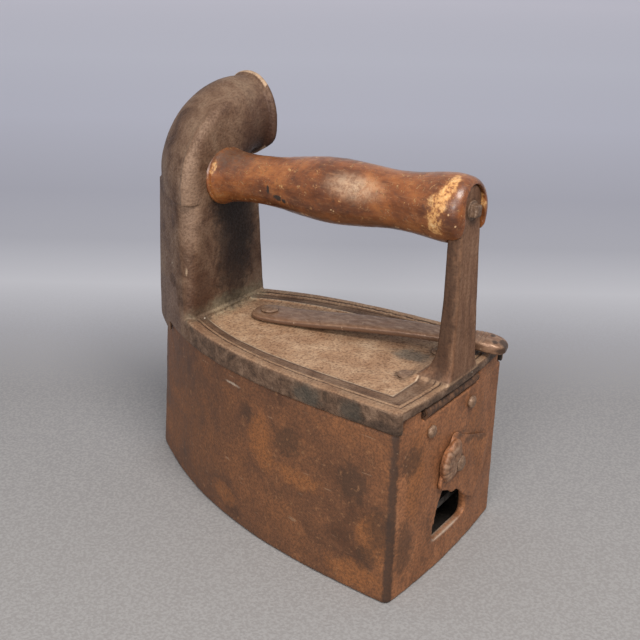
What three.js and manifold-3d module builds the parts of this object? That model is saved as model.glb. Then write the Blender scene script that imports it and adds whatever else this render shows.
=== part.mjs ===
// A charcoal-heated flat iron with a chimney. Millimetres, +Z up, +Y to the nose, +X to the iron's right.
// Everything is drawn with the heel's corners at y = 0, and the whole iron is then shifted so that
// the origin lies on the underside of the sole, on the symmetry plane, below the middle of the iron.
import * as THREE from 'three';
import { mergeVertices } from 'three/addons/utils/BufferGeometryUtils.js';
import Module from 'manifold-3d';

const wasm = await Module();
wasm.setup();

// ---------------------------------------------------------------- driving dimensions
const ORIGIN_FROM_HEEL = 80;
const GAP = 0.3;
const ROUND_SIDES = 18;
const MERGE_TOLERANCE = 1e-4;

// Body: plan outlines of the sole, of the wall just below the lid's skirt and of the rim inside the skirt.
const HEEL_BULGE = 2.7;
const SOLE = { halfWidth: 52.5, rear: 0, nose: 192.6, power: 2.6, bulge: HEEL_BULGE, corner: 3.4 };
const WALL_TOP = { halfWidth: 51.3, rear: 0, nose: 186, power: 3.3, bulge: HEEL_BULGE, corner: 4 };
const RIM = { halfWidth: 48, rear: 0, nose: 181, power: 3.2, bulge: HEEL_BULGE, corner: 4 };
const CAVITY_LOW = { halfWidth: 48.2, rear: 4, nose: 185.5, power: 2.6, bulge: HEEL_BULGE, corner: 6 };
const CAVITY_HIGH = { halfWidth: 45.5, rear: 4, nose: 176.5, power: 3.2, bulge: HEEL_BULGE, corner: 6 };
const SOLE_THICKNESS = 9;
const SOLE_EDGE = 0.9;
const SHOULDER_Z = 89.7;
const RIM_TOP_Z = 96.5;
const HEEL_TOP_CHAMFER = 1.5;
const NOTCH = { left: -33, right: 21, bottom: 90.2 };
const KEEPER = { inner: 31.5, outer: 41.5, rear: 92, front: 102, bottom: 79, top: 84 };
const GRATE_BOSSES = [[-34, 24], [34, 24], [-29, 98], [29, 98], [0, 150]];
const GRATE_BOSS_RADIUS = 4;

// Draught hole in the heel wall: a tall half ellipse on a flat sill.
const HOLE = { halfWidth: 16.5, sill: 17, height: 31, sillCorner: 3 };
const WALL_CUT_DEPTH = 20;

// Fire grate, a flat slotted casting that lies on the bosses.
const GRATE = { halfWidth: 43.5, rear: 8, nose: 172, power: 2.7, bulge: 0, corner: 7 };
const GRATE_BOTTOM_Z = 20;
const GRATE_TOP_Z = 24;
const GRATE_SLOT = { width: 5, pitch: 12, front: 128, margin: 20, count: 9, endMargin: 8 };

// Butt hinge between the heel wall and the lid.
const PIN = { y: -0.5, z: 93.2, radius: 1.3, hole: 1.6, centre: -6, halfLength: 25.4 };
const KNUCKLE = { radius: 2.7, lidHalf: 6.5, outer: 25 };
const BODY_LEAF = { rear: 3.4, front: 5.4, bottom: 76, top: 93.9, half: 25 };
const LID_LEAF = { left: -21, right: 29, bottom: 94.6, top: 96.5, front: 28, rear: 2 };
const HEEL_RIVET = { xs: [-25.5, 12.5], z: 82.5, shank: 2.1, hole: 2.4, head: 3.3, dome: 2.3, tail: 3.1 };
const LID_RIVET = { xs: [-12.4, 20.5], y: 19.6, shank: 2.2, hole: 2.5, head: 4.7, dome: 1.2, tail: 3.6 };
const TAIL_THICKNESS = 1.3;

// Damper: a flap with a shell-shaped finger tab, turning on a rivet in the heel wall.
const DAMPER = { x: 0, z: 55, back: 3.1, thickness: 1.8, openAngle: 62 };
const FLAP = {
  shoulder: 14, shoulderHeight: 9, neckDrop: -3, cornerHalf: 17, leftDrop: -33, rightDrop: -30, bottom: -39.5,
};
const SHELL = {
  centre: 7.6, radius: 10.4, height: 2.4, ribs: 6, ribRadius: 1.5, ribStart: 0.12, ribSweep: 0.76, sunk: 0.2,
};
const DAMPER_RIVET = { shank: 1.9, hole: 2.2, head: 4, dome: 2.2, recess: 4.9, seat: 0.4 };
const DAMPER_WASHER = { radius: 5.5, thickness: 1.2 };

// Lid plate with its skirt, mouldings and recessed panel.
const LID = { halfWidth: 52.1, rear: -0.8, nose: 191, power: 3.2, bulge: 2.9, corner: 4 };
const LID_POCKET = { halfWidth: 48.6, rear: -12, nose: 182.6, power: 3.4, bulge: 0, corner: 2 };
const LID_STRAP_CLEARANCE = { halfWidth: 51.8, rear: -12, nose: 187.4, power: 3.5, bulge: 0, corner: 2 };
const LID_STRIP = { halfWidth: 45.6, rear: 3.2, nose: 176, power: 3.4, bulge: 2.4, corner: 3 };
const LID_PANEL = { halfWidth: 36, rear: 13, nose: 165, power: 3.8, bulge: 0.4, corner: 2 };
const SKIRT_BOTTOM_Z = 90;
const STRAP_BOTTOM_Z = 84.6;
const STRAP_START_Y = 166;
const LID_UNDERSIDE_Z = 96.8;
const PANEL_Z = 99.2;
const STRIP_Z = 100.2;
const BEAD_Z = 101.4;
const BEAD_ROUND = 1;
const MOULDING_END_Y = 139.5;

// Chimney: a hollow shaft over the nose that bends over to the iron's right and ends in a round mouth.
const CHIMNEY_WALL = 4;
const CHIMNEY_SECTIONS = [
  { z: BEAD_Z + GAP, halfWidth: 33.4, nose: 191 },
  { z: 108, halfWidth: 32.2, nose: 190.6 },
  { z: 125, halfWidth: 31, nose: 189.9 },
  { z: 142, halfWidth: 29.4, nose: 189.2 },
  { z: 155, halfWidth: 28.4, nose: 188.5 },
  { z: 166, halfWidth: 27.8, nose: 187.6 },
];
const CHIMNEY_REAR_Y = 141;
const CHIMNEY_POWER = 1.3;
const CHIMNEY_CORNER = 3.4;
const BEND = {
  x: 30, y: 153.5, z: 168, headingX: 0.97, headingY: -0.243, centreRadius: 31, steps: 9, swell: 0.05,
};
const MOUTH = { radius: 20.5, lip: 22.4, reach: 6, lipLength: 2.6 };

// Rear post, wooden grip and the bolt that holds the grip.
const POST = { baseHalf: 11.4, waistHalf: 10.3, topHalf: 8.8, waistZ: 140, roundZ: 183.8 };
// height, y of the rear face, y of the front face
const POST_FACES = [
  [BEAD_Z + GAP, -3.9, 9.5], [105, -3.8, 6.6], [110, -3.6, 5.2], [140, -2.7, 5], [204, -0.6, 6.4],
];
const GRIP_FRONT = { y: 143, z: 173 };
const GRIP_REAR = { y: -2.2, z: 181.2 };
const GRIP_PROFILE = [
  [-0.8, 11.8], [0.8, 14.2], [4, 15.5], [10, 15.9], [17, 15.4], [26, 14.3], [36, 13.7],
  [46, 14.0], [58, 15.2], [70, 15.9], [80, 15.8], [92, 14.5], [104, 13.0], [116, 12.2],
  [128, 12.4], [137, 13.6], [141, 15.4], [152, 15.4],
];
const GRIP_BORE = 3.6;
const BOLT = { radius: 3.1, head: 6.6, headHeight: 3.4, headRear: -5, hole: 3.6 };

// Latch: a long thumb lever, its pivot rivet through the lid and the hook below the lid.
const LEVER = { pivotX: 5, pivotY: 115.5, angle: 12.8 };
const LEVER_STATIONS = [
  // along the lever, half width, underside above the panel, top above the panel
  [-9.3, 1.8, 0.6, 2.4], [-8.2, 4.8, 0.4, 3.0], [-6, 7.4, GAP, 3.4], [-3, 9.0, GAP, 3.5], [0, 9.5, GAP, 3.6],
  [12, 9.6, 0.4, 4.0], [30, 9.5, 1.6, 5.4], [50, 9.1, 3.4, 7.4], [72, 8.2, 4.8, 8.8], [92, 7.3, 5.4, 9.4],
  [100, 7.2, 5.2, 9.8], [108, 7.6, 4.9, 10.5], [116, 7.8, 4.7, 10.6], [122, 7.3, 4.0, 9.8],
  [126, 5.8, 3.8, 8.6], [128.2, 3.2, 4.4, 7.2],
];
const LEVER_EDGE = 1.1;
const PIVOT = { shank: 2.6, hole: 3.0, head: 4.8, dome: 1.7, square: 4.2 };
const HOOK = {
  top: 96.3, bottom: 93.2, hubRadius: 6.5, reach: 24.5, halfWidth: 3.6, angle: -42, tip: 3.4, toe: 2.4,
};
const LATCH_WASHER = { radius: 6, thickness: 1.2 };

// ---------------------------------------------------------------- materials
const metal = (color, roughness) => new THREE.MeshStandardMaterial({ color, roughness, metalness: 0.6 });
const bodyIron = metal(0x6a4630, 0.75);
const lidIron = metal(0x6b5540, 0.8);
const rivetIron = metal(0x7a6350, 0.6);
const sootyIron = metal(0x2a2320, 0.9);
const wood = new THREE.MeshStandardMaterial({ color: 0x7a3f1d, roughness: 0.45, metalness: 0 });

// ---------------------------------------------------------------- general solids
function toSolid(geometry) {
  const bare = geometry.clone();
  bare.deleteAttribute('normal');
  bare.deleteAttribute('uv');
  const merged = mergeVertices(bare, MERGE_TOLERANCE);
  return new wasm.Manifold(new wasm.Mesh({
    numProp: 3,
    vertProperties: merged.attributes.position.array,
    triVerts: merged.index.array,
  }));
}

function toGeometry(solid) {
  const mesh = solid.getMesh();
  const geometry = new THREE.BufferGeometry();
  geometry.setAttribute('position', new THREE.BufferAttribute(mesh.vertProperties, 3));
  geometry.setIndex(new THREE.BufferAttribute(mesh.triVerts, 1));
  geometry.computeVertexNormals();
  return geometry;
}

// A closed skin over a row of rings with equal point counts, each ring anticlockwise seen from its far end.
function loft(rings) {
  const count = rings[0].length;
  const centres = [rings[0], rings[rings.length - 1]].map((ring) => (
    ring.reduce((sum, point) => sum.add(point), new THREE.Vector3()).divideScalar(count)
  ));
  const points = [...rings.flat(), ...centres];
  const indices = [];
  for (let ring = 0; ring < rings.length - 1; ring += 1) {
    for (let i = 0; i < count; i += 1) {
      const a = ring * count + i;
      const b = ring * count + (i + 1) % count;
      indices.push(a, b, b + count, a, b + count, a + count);
    }
  }
  const first = rings.length * count;
  const lastRing = (rings.length - 1) * count;
  for (let i = 0; i < count; i += 1) {
    const next = (i + 1) % count;
    indices.push(first, next, i);
    indices.push(first + 1, lastRing + i, lastRing + next);
  }
  const geometry = new THREE.BufferGeometry().setFromPoints(points);
  geometry.setIndex(indices);
  return geometry;
}

function box(left, right, rear, front, bottom, top) {
  const geometry = new THREE.BoxGeometry(right - left, front - rear, top - bottom);
  return geometry.translate((left + right) / 2, (rear + front) / 2, (bottom + top) / 2);
}

const upright = (radius, bottom, top, x, y, sides = ROUND_SIDES) => (
  new THREE.CylinderGeometry(radius, radius, top - bottom, sides)
    .rotateX(Math.PI / 2)
    .translate(x, y, (bottom + top) / 2)
);

const crosswise = (radius, left, right, y, z) => (
  new THREE.CylinderGeometry(radius, radius, right - left, ROUND_SIDES)
    .rotateZ(Math.PI / 2)
    .translate((left + right) / 2, y, z)
);

const lengthwise = (radius, rear, front, x, z) => (
  new THREE.CylinderGeometry(radius, radius, front - rear, ROUND_SIDES).translate(x, (rear + front) / 2, z)
);

// A flat shape drawn in x and z, made solid from y = rear to y = front.
function heelPlate(shape, rear, front) {
  const settings = { depth: front - rear, bevelEnabled: false, curveSegments: 12 };
  const geometry = new THREE.ExtrudeGeometry(shape, settings);
  return geometry.rotateX(Math.PI / 2).translate(0, front, 0);
}

// A domed rivet along +Y or +Z: head outside, straight shank, flattened tail.
function rivet({ shank, head, dome, tail }, shankLength) {
  const domeSteps = 5;
  const profile = [new THREE.Vector2(0, -dome)];
  for (let i = 1; i <= domeSteps; i += 1) {
    const turn = (i / domeSteps) * (Math.PI / 2);
    profile.push(new THREE.Vector2(head * Math.sin(turn), -dome * Math.cos(turn)));
  }
  profile.push(new THREE.Vector2(shank, 0));
  profile.push(new THREE.Vector2(shank, shankLength));
  profile.push(new THREE.Vector2(tail, shankLength));
  profile.push(new THREE.Vector2(tail * 0.8, shankLength + TAIL_THICKNESS));
  profile.push(new THREE.Vector2(0, shankLength + TAIL_THICKNESS));
  return new THREE.LatheGeometry(profile, ROUND_SIDES);
}

// ---------------------------------------------------------------- plan outlines
const HEEL_POINTS = 8;
const CORNER_POINTS = 4;
const SIDE_POINTS = 13;
const NOSE_SHARE = 0.992;

const halfWidthAt = (plan, y) => (
  plan.halfWidth * (1 - (Math.max(0, y - plan.rear) / (plan.nose - plan.rear)) ** plan.power)
);

// One ring of an iron-shaped outline: bulged heel, rounded heel corners, curved sides and a blunt nose.
function planRing(plan, z) {
  const flat = plan.halfWidth - plan.corner;
  const ring = [];
  for (let i = 0; i <= HEEL_POINTS; i += 1) {
    const share = (2 * i) / HEEL_POINTS - 1;
    ring.push(new THREE.Vector3(share * flat, plan.rear - plan.bulge * (1 - share * share), z));
  }
  const side = [];
  for (let i = 1; i < CORNER_POINTS; i += 1) {
    const turn = (i / CORNER_POINTS) * (Math.PI / 2);
    side.push([flat + plan.corner * Math.sin(turn), plan.rear + plan.corner * (1 - Math.cos(turn))]);
  }
  const start = plan.rear + plan.corner;
  for (let i = 0; i <= SIDE_POINTS; i += 1) {
    const share = Math.sin((i / SIDE_POINTS) * (Math.PI / 2)) * NOSE_SHARE;
    const y = start + (plan.nose - start) * share;
    side.push([halfWidthAt(plan, y), y]);
  }
  side.forEach(([x, y]) => ring.push(new THREE.Vector3(x, y, z)));
  side.reverse().forEach(([x, y]) => ring.push(new THREE.Vector3(-x, y, z)));
  return ring;
}

function grown(plan, by) {
  return { ...plan, halfWidth: plan.halfWidth + by, rear: plan.rear - by, nose: plan.nose + by * 1.4 };
}

function blended(low, high, share) {
  const mix = (key) => low[key] + (high[key] - low[key]) * share;
  return {
    halfWidth: mix('halfWidth'), rear: mix('rear'), nose: mix('nose'),
    power: mix('power'), bulge: mix('bulge'), corner: mix('corner'),
  };
}

const prism = (plan, bottom, top) => loft([planRing(plan, bottom), planRing(plan, top)]);

// ---------------------------------------------------------------- body
function draughtHole() {
  const shape = new THREE.Shape();
  const { halfWidth, sill, height, sillCorner } = HOLE;
  shape.moveTo(-halfWidth + sillCorner, sill);
  shape.lineTo(halfWidth - sillCorner, sill);
  shape.quadraticCurveTo(halfWidth, sill, halfWidth, sill + sillCorner);
  shape.absellipse(0, sill + sillCorner, halfWidth, height - sillCorner, 0, Math.PI, false, 0);
  shape.quadraticCurveTo(-halfWidth, sill, -halfWidth + sillCorner, sill);
  return heelPlate(shape, -WALL_CUT_DEPTH / 2, WALL_CUT_DEPTH / 2);
}

function bodyCasting() {
  const middle = blended(SOLE, WALL_TOP, 0.5);
  const shell = loft([
    planRing(grown(SOLE, -SOLE_EDGE * 0.6), 0),
    planRing(SOLE, SOLE_EDGE),
    planRing(middle, SHOULDER_Z / 2),
    planRing(WALL_TOP, SHOULDER_Z),
  ]);
  const rim = loft([
    planRing(RIM, SHOULDER_Z - 4),
    planRing(RIM, RIM_TOP_Z - HEEL_TOP_CHAMFER),
    planRing({ ...RIM, rear: RIM.rear + HEEL_TOP_CHAMFER, halfWidth: RIM.halfWidth - 0.4 }, RIM_TOP_Z),
  ]);
  const cavity = loft([
    planRing(CAVITY_LOW, SOLE_THICKNESS),
    planRing(CAVITY_HIGH, SHOULDER_Z - 2),
    planRing(CAVITY_HIGH, RIM_TOP_Z + 3),
  ]);
  let solid = toSolid(shell).add(toSolid(rim)).subtract(toSolid(cavity));
  GRATE_BOSSES.forEach(([x, y]) => {
    solid = solid.add(toSolid(upright(GRATE_BOSS_RADIUS, SOLE_THICKNESS - 1, GRATE_BOTTOM_Z - GAP, x, y)));
  });
  solid = solid.add(toSolid(box(
    KEEPER.inner, KEEPER.outer, KEEPER.rear, KEEPER.front, KEEPER.bottom, KEEPER.top,
  )));
  solid = solid.subtract(toSolid(draughtHole()));
  solid = solid.subtract(toSolid(box(NOTCH.left, NOTCH.right, -8, 3, NOTCH.bottom, RIM_TOP_Z + 3)));
  HEEL_RIVET.xs.forEach((x) => {
    solid = solid.subtract(toSolid(lengthwise(HEEL_RIVET.hole, -8, 8, x, HEEL_RIVET.z)));
  });
  solid = solid.subtract(toSolid(lengthwise(DAMPER_RIVET.hole, -8, 8, DAMPER.x, DAMPER.z)));
  return toGeometry(solid);
}

function fireGrate() {
  let solid = toSolid(prism(GRATE, GRATE_BOTTOM_Z, GRATE_TOP_Z));
  for (let i = 0; i < GRATE_SLOT.count; i += 1) {
    const y = GRATE.rear + GRATE_SLOT.margin + i * GRATE_SLOT.pitch;
    const half = halfWidthAt(GRATE, y + GRATE_SLOT.width) - GRATE_SLOT.endMargin;
    [-1, 1].forEach((side) => {
      const inner = side * 3;
      const outer = side * half;
      solid = solid.subtract(toSolid(box(
        Math.min(inner, outer), Math.max(inner, outer), y, y + GRATE_SLOT.width,
        GRATE_BOTTOM_Z - 1, GRATE_TOP_Z + 1,
      )));
    });
  }
  return toGeometry(solid);
}

// ---------------------------------------------------------------- hinge
function hingeBodyLeaf() {
  const centre = PIN.centre;
  let solid = toSolid(box(
    centre - BODY_LEAF.half, centre + BODY_LEAF.half, BODY_LEAF.rear, BODY_LEAF.front,
    BODY_LEAF.bottom, BODY_LEAF.top,
  ));
  [[-KNUCKLE.outer, -KNUCKLE.lidHalf - GAP], [KNUCKLE.lidHalf + GAP, KNUCKLE.outer]].forEach(([from, to]) => {
    solid = solid.add(toSolid(crosswise(KNUCKLE.radius, centre + from, centre + to, PIN.y, PIN.z)));
    solid = solid.add(toSolid(box(
      centre + from, centre + to, PIN.y, BODY_LEAF.front, NOTCH.bottom + GAP, BODY_LEAF.top,
    )));
  });
  solid = solid.subtract(toSolid(box(
    centre - KNUCKLE.lidHalf - GAP, centre + KNUCKLE.lidHalf + GAP, PIN.y - 5, BODY_LEAF.front + 1,
    PIN.z - KNUCKLE.radius - GAP, PIN.z + 5,
  )));
  solid = solid.subtract(toSolid(crosswise(PIN.hole, centre - 30, centre + 30, PIN.y, PIN.z)));
  HEEL_RIVET.xs.forEach((x) => {
    solid = solid.subtract(toSolid(lengthwise(HEEL_RIVET.hole, 0, 8, x, HEEL_RIVET.z)));
  });
  return toGeometry(solid);
}

function hingeLidLeaf() {
  const left = PIN.centre - KNUCKLE.lidHalf;
  const right = PIN.centre + KNUCKLE.lidHalf;
  let solid = toSolid(box(
    LID_LEAF.left, LID_LEAF.right, LID_LEAF.rear + 4, LID_LEAF.front, LID_LEAF.bottom, LID_LEAF.top,
  ));
  solid = solid.add(toSolid(box(
    left, right, PIN.y, LID_LEAF.rear + 5, LID_LEAF.bottom - 0.5, PIN.z + KNUCKLE.radius,
  )));
  solid = solid.add(toSolid(crosswise(KNUCKLE.radius, left, right, PIN.y, PIN.z)));
  solid = solid.subtract(toSolid(crosswise(PIN.hole, left - 5, right + 5, PIN.y, PIN.z)));
  LID_RIVET.xs.forEach((x) => {
    const bore = upright(LID_RIVET.hole, LID_LEAF.bottom - 2, LID_LEAF.top + 2, x, LID_RIVET.y);
    solid = solid.subtract(toSolid(bore));
  });
  return toGeometry(solid);
}

const hingePin = () => (
  crosswise(PIN.radius, PIN.centre - PIN.halfLength, PIN.centre + PIN.halfLength, PIN.y, PIN.z)
);

const heelFaceY = (x) => -HEEL_BULGE * (1 - (x / (WALL_TOP.halfWidth - WALL_TOP.corner)) ** 2);

const heelRivet = (x) => (
  rivet(HEEL_RIVET, BODY_LEAF.front + GAP - heelFaceY(x) + GAP).translate(x, heelFaceY(x) - GAP, HEEL_RIVET.z)
);

const lidRivet = (x) => (
  rivet(LID_RIVET, PANEL_Z - LID_LEAF.bottom + 2 * GAP)
    .rotateX(-Math.PI / 2)
    .translate(x, LID_RIVET.y, PANEL_Z + GAP)
);

// ---------------------------------------------------------------- damper, drawn closed about its own pivot
function flapShape() {
  const shape = new THREE.Shape();
  const { shoulder, shoulderHeight, neckDrop, cornerHalf, leftDrop, rightDrop, bottom } = FLAP;
  shape.moveTo(-cornerHalf, leftDrop);
  shape.quadraticCurveTo(0, 2 * bottom - leftDrop, cornerHalf, rightDrop);
  shape.lineTo(shoulder, neckDrop);
  shape.quadraticCurveTo(shoulder + 0.8, shoulderHeight, shoulder * 0.6, shoulderHeight + 4);
  shape.lineTo(-shoulder * 0.6, shoulderHeight + 4);
  shape.quadraticCurveTo(-shoulder - 0.8, shoulderHeight, -shoulder, neckDrop);
  return shape;
}

function damperFlap() {
  const outer = -DAMPER.thickness;
  let solid = toSolid(heelPlate(flapShape(), outer, 0));
  const shellBack = outer + SHELL.sunk;
  const shell = new THREE.CylinderGeometry(SHELL.radius, SHELL.radius * 0.8, SHELL.height, ROUND_SIDES)
    .translate(0, shellBack - SHELL.height / 2, SHELL.centre);
  solid = solid.add(toSolid(shell));
  for (let i = 0; i < SHELL.ribs; i += 1) {
    const turn = Math.PI * (SHELL.ribStart + (SHELL.ribSweep * i) / (SHELL.ribs - 1));
    const reach = SHELL.radius + 0.6;
    const tip = new THREE.Vector3(reach * Math.cos(turn), shellBack, SHELL.centre + reach * Math.sin(turn));
    const root = new THREE.Vector3(0, outer - SHELL.height, SHELL.centre - 3);
    const rib = new THREE.ExtrudeGeometry(
      new THREE.Shape().absarc(0, 0, SHELL.ribRadius, 0, Math.PI * 2),
      { steps: 1, curveSegments: 4, bevelEnabled: false, extrudePath: new THREE.LineCurve3(root, tip) },
    );
    solid = solid.add(toSolid(rib));
  }
  const recessFloor = outer - DAMPER_RIVET.seat;
  solid = solid.subtract(toSolid(lengthwise(DAMPER_RIVET.recess, recessFloor - 9, recessFloor, 0, 0)));
  solid = solid.subtract(toSolid(lengthwise(DAMPER_RIVET.hole, -12, 5, 0, 0)));
  solid = solid.subtract(toSolid(box(-30, 30, 0, 10, -60, 60)));
  return toGeometry(solid);
}

function damperRivet() {
  const headY = -DAMPER.back - DAMPER.thickness - DAMPER_RIVET.seat - GAP;
  const insideY = CAVITY_LOW.rear - HEEL_BULGE + DAMPER_WASHER.thickness + 2 * GAP + 0.4;
  return rivet({ ...DAMPER_RIVET, tail: DAMPER_RIVET.shank + 1.2 }, insideY - headY)
    .translate(DAMPER.x, headY, DAMPER.z);
}

function damperWasher() {
  const rear = CAVITY_LOW.rear - HEEL_BULGE + GAP + 0.2;
  const front = rear + DAMPER_WASHER.thickness;
  const disc = toSolid(lengthwise(DAMPER_WASHER.radius, rear, front, DAMPER.x, DAMPER.z));
  const bore = toSolid(lengthwise(DAMPER_RIVET.hole, rear - 3, front + 3, DAMPER.x, DAMPER.z));
  return toGeometry(disc.subtract(bore));
}

// ---------------------------------------------------------------- chimney
function shaftPlan(section, inset) {
  return {
    halfWidth: section.halfWidth - inset,
    rear: CHIMNEY_REAR_Y + inset,
    nose: section.nose - inset * 1.5,
    power: CHIMNEY_POWER,
    bulge: 0,
    corner: Math.max(CHIMNEY_CORNER - inset, 3),
  };
}

// The rings of the bend: the shaft's last section turns about a level axis and grows into a circle.
function bendRings(inset) {
  const heading = new THREE.Vector3(BEND.headingX, BEND.headingY, 0).normalize();
  const axis = new THREE.Vector3(-heading.y, heading.x, 0);
  const up = new THREE.Vector3(0, 0, 1);
  const pivot = new THREE.Vector3(BEND.x, BEND.y, BEND.z);
  const last = CHIMNEY_SECTIONS[CHIMNEY_SECTIONS.length - 1];
  const flat = planRing(shaftPlan(last, inset), BEND.z).map((point) => {
    const arm = point.clone().sub(pivot);
    return { out: -arm.dot(heading) - BEND.centreRadius, along: arm.dot(axis) };
  });
  const place = (radius, along, turn, reach) => pivot.clone()
    .addScaledVector(axis, along)
    .addScaledVector(heading, -radius * Math.cos(turn) + reach)
    .addScaledVector(up, radius * Math.sin(turn));
  const rings = [];
  for (let step = 0; step <= BEND.steps; step += 1) {
    const share = step / BEND.steps;
    const turn = share * (Math.PI / 2);
    const round = share * share * (3 - 2 * share);
    rings.push(flat.map(({ out, along }) => {
      const angle = Math.atan2(along, out);
      const full = 1 + BEND.swell * Math.sin(Math.PI * share);
      const size = (Math.hypot(out, along) * (1 - round) + (MOUTH.radius - inset) * round) * full;
      return place(BEND.centreRadius + size * Math.cos(angle), size * Math.sin(angle), turn, 0);
    }));
  }
  const lipRing = (radius, reach) => flat.map(({ out, along }) => {
    const angle = Math.atan2(along, out);
    return place(BEND.centreRadius + radius * Math.cos(angle), radius * Math.sin(angle), Math.PI / 2, reach);
  });
  if (inset > 0) {
    rings.push(lipRing(MOUTH.radius - inset, MOUTH.reach + 3));
  } else {
    rings.push(lipRing(MOUTH.radius, MOUTH.reach - MOUTH.lipLength));
    rings.push(lipRing(MOUTH.lip, MOUTH.reach - MOUTH.lipLength + 1));
    rings.push(lipRing(MOUTH.lip, MOUTH.reach));
  }
  return rings;
}

function shaftSolid(inset, drop) {
  const rings = CHIMNEY_SECTIONS.map((section) => planRing(shaftPlan(section, inset), section.z));
  if (drop > 0) {
    rings.unshift(planRing(shaftPlan(CHIMNEY_SECTIONS[0], inset), CHIMNEY_SECTIONS[0].z - drop));
  }
  return loft([...rings, ...bendRings(inset)]);
}

const gripAxis = () => {
  const rear = new THREE.Vector3(0, GRIP_REAR.y, GRIP_REAR.z);
  const front = new THREE.Vector3(0, GRIP_FRONT.y, GRIP_FRONT.z);
  return { rear, heading: front.sub(rear).normalize() };
};

// Turns a geometry drawn along +Y from its origin onto the grip's axis.
function ontoGripAxis(geometry) {
  const { rear, heading } = gripAxis();
  const turn = new THREE.Quaternion().setFromUnitVectors(new THREE.Vector3(0, 1, 0), heading);
  return geometry.applyQuaternion(turn).translate(rear.x, rear.y, rear.z);
}

function chimney() {
  let solid = toSolid(shaftSolid(0, 0)).subtract(toSolid(shaftSolid(CHIMNEY_WALL, 5)));
  solid = solid.subtract(toSolid(ontoGripAxis(lengthwise(BOLT.hole, 120, 152, 0, 0))));
  return toGeometry(solid);
}

// ---------------------------------------------------------------- lid
function lidPlate() {
  let solid = toSolid(loft([
    planRing(LID, SKIRT_BOTTOM_Z),
    planRing(LID, BEAD_Z - BEAD_ROUND),
    planRing(grown(LID, -BEAD_ROUND), BEAD_Z),
  ]));
  solid = solid.subtract(toSolid(prism(LID_POCKET, SKIRT_BOTTOM_Z - 2, LID_UNDERSIDE_Z)));
  const strap = toSolid(prism(LID, STRAP_BOTTOM_Z, SKIRT_BOTTOM_Z + 1))
    .intersect(toSolid(box(-40, 40, STRAP_START_Y, 220, 60, 120)))
    .subtract(toSolid(prism(LID_STRAP_CLEARANCE, STRAP_BOTTOM_Z - 2, SKIRT_BOTTOM_Z)))
    .subtract(toSolid(prism(LID_POCKET, SKIRT_BOTTOM_Z - 1, LID_UNDERSIDE_Z)));
  solid = solid.add(strap);
  const mouldingEnd = toSolid(box(-80, 80, -40, MOULDING_END_Y, 80, 120));
  solid = solid.subtract(toSolid(prism(LID_STRIP, STRIP_Z, BEAD_Z + 3)).intersect(mouldingEnd));
  solid = solid.subtract(toSolid(prism(LID_PANEL, PANEL_Z, BEAD_Z + 3)).intersect(mouldingEnd));
  const flue = shaftPlan(CHIMNEY_SECTIONS[0], CHIMNEY_WALL);
  solid = solid.subtract(toSolid(prism({ ...flue, nose: flue.nose - 6 }, LID_UNDERSIDE_Z - 2, BEAD_Z + 3)));
  LID_RIVET.xs.forEach((x) => {
    solid = solid.subtract(toSolid(upright(LID_RIVET.hole, 90, 110, x, LID_RIVET.y)));
  });
  solid = solid.subtract(toSolid(upright(PIVOT.hole, 90, 110, LEVER.pivotX, LEVER.pivotY)));
  return toGeometry(solid);
}

// The post seen from behind: it tapers upwards and ends in a half circle.
function postOutline(clearance) {
  const shape = new THREE.Shape();
  const half = POST.topHalf + clearance;
  shape.moveTo(-POST.baseHalf, BEAD_Z + GAP);
  shape.lineTo(POST.baseHalf, BEAD_Z + GAP);
  shape.lineTo(POST.waistHalf, POST.waistZ);
  shape.lineTo(half, POST.roundZ);
  shape.absarc(0, POST.roundZ, half, 0, Math.PI, false);
  shape.lineTo(-POST.waistHalf, POST.waistZ);
  return shape;
}

function postSolid(clearance) {
  const side = new THREE.Shape();
  side.moveTo(POST_FACES[0][1] - clearance, POST_FACES[0][0]);
  POST_FACES.forEach(([z, , front]) => side.lineTo(front + clearance, z));
  POST_FACES.slice(1).reverse().forEach(([z, rear]) => side.lineTo(rear - clearance, z));
  const sideBlock = new THREE.ExtrudeGeometry(side, { depth: 60, bevelEnabled: false })
    .translate(0, 0, -30)
    .applyMatrix4(new THREE.Matrix4().makeBasis(
      new THREE.Vector3(0, 1, 0), new THREE.Vector3(0, 0, 1), new THREE.Vector3(1, 0, 0),
    ));
  return toSolid(heelPlate(postOutline(clearance), -30, 30)).intersect(toSolid(sideBlock));
}

function rearPost() {
  const hole = toSolid(ontoGripAxis(lengthwise(BOLT.hole + 0.4, -12, 20, 0, 0)));
  return toGeometry(postSolid(0).subtract(hole));
}

function woodenGrip() {
  const profile = GRIP_PROFILE.map(([along, radius]) => new THREE.Vector2(radius, along));
  const outline = [
    new THREE.Vector2(0, GRIP_PROFILE[0][0]), ...profile,
    new THREE.Vector2(0, GRIP_PROFILE[GRIP_PROFILE.length - 1][0]),
  ];
  let solid = toSolid(ontoGripAxis(new THREE.LatheGeometry(outline, 28)));
  solid = solid.subtract(toSolid(ontoGripAxis(lengthwise(GRIP_BORE, -15, 170, 0, 0))));
  const slot = postSolid(GAP).add(toSolid(heelPlate(postOutline(GAP), -30, 0)));
  solid = solid.subtract(slot);
  solid = solid.subtract(toSolid(shaftSolid(0, 0).translate(0, -GAP, 0)));
  return toGeometry(solid);
}

function handleBolt() {
  const shank = toSolid(ontoGripAxis(lengthwise(BOLT.radius, -3, 145.5, 0, 0)));
  const headRadius = BOLT.head * Math.SQRT1_2;
  const head = new THREE.CylinderGeometry(headRadius, headRadius, BOLT.headHeight, 4)
    .rotateY(Math.PI / 4)
    .translate(0, BOLT.headRear - GRIP_REAR.y + BOLT.headHeight / 2, 0);
  return toGeometry(shank.add(toSolid(ontoGripAxis(head))));
}

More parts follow.
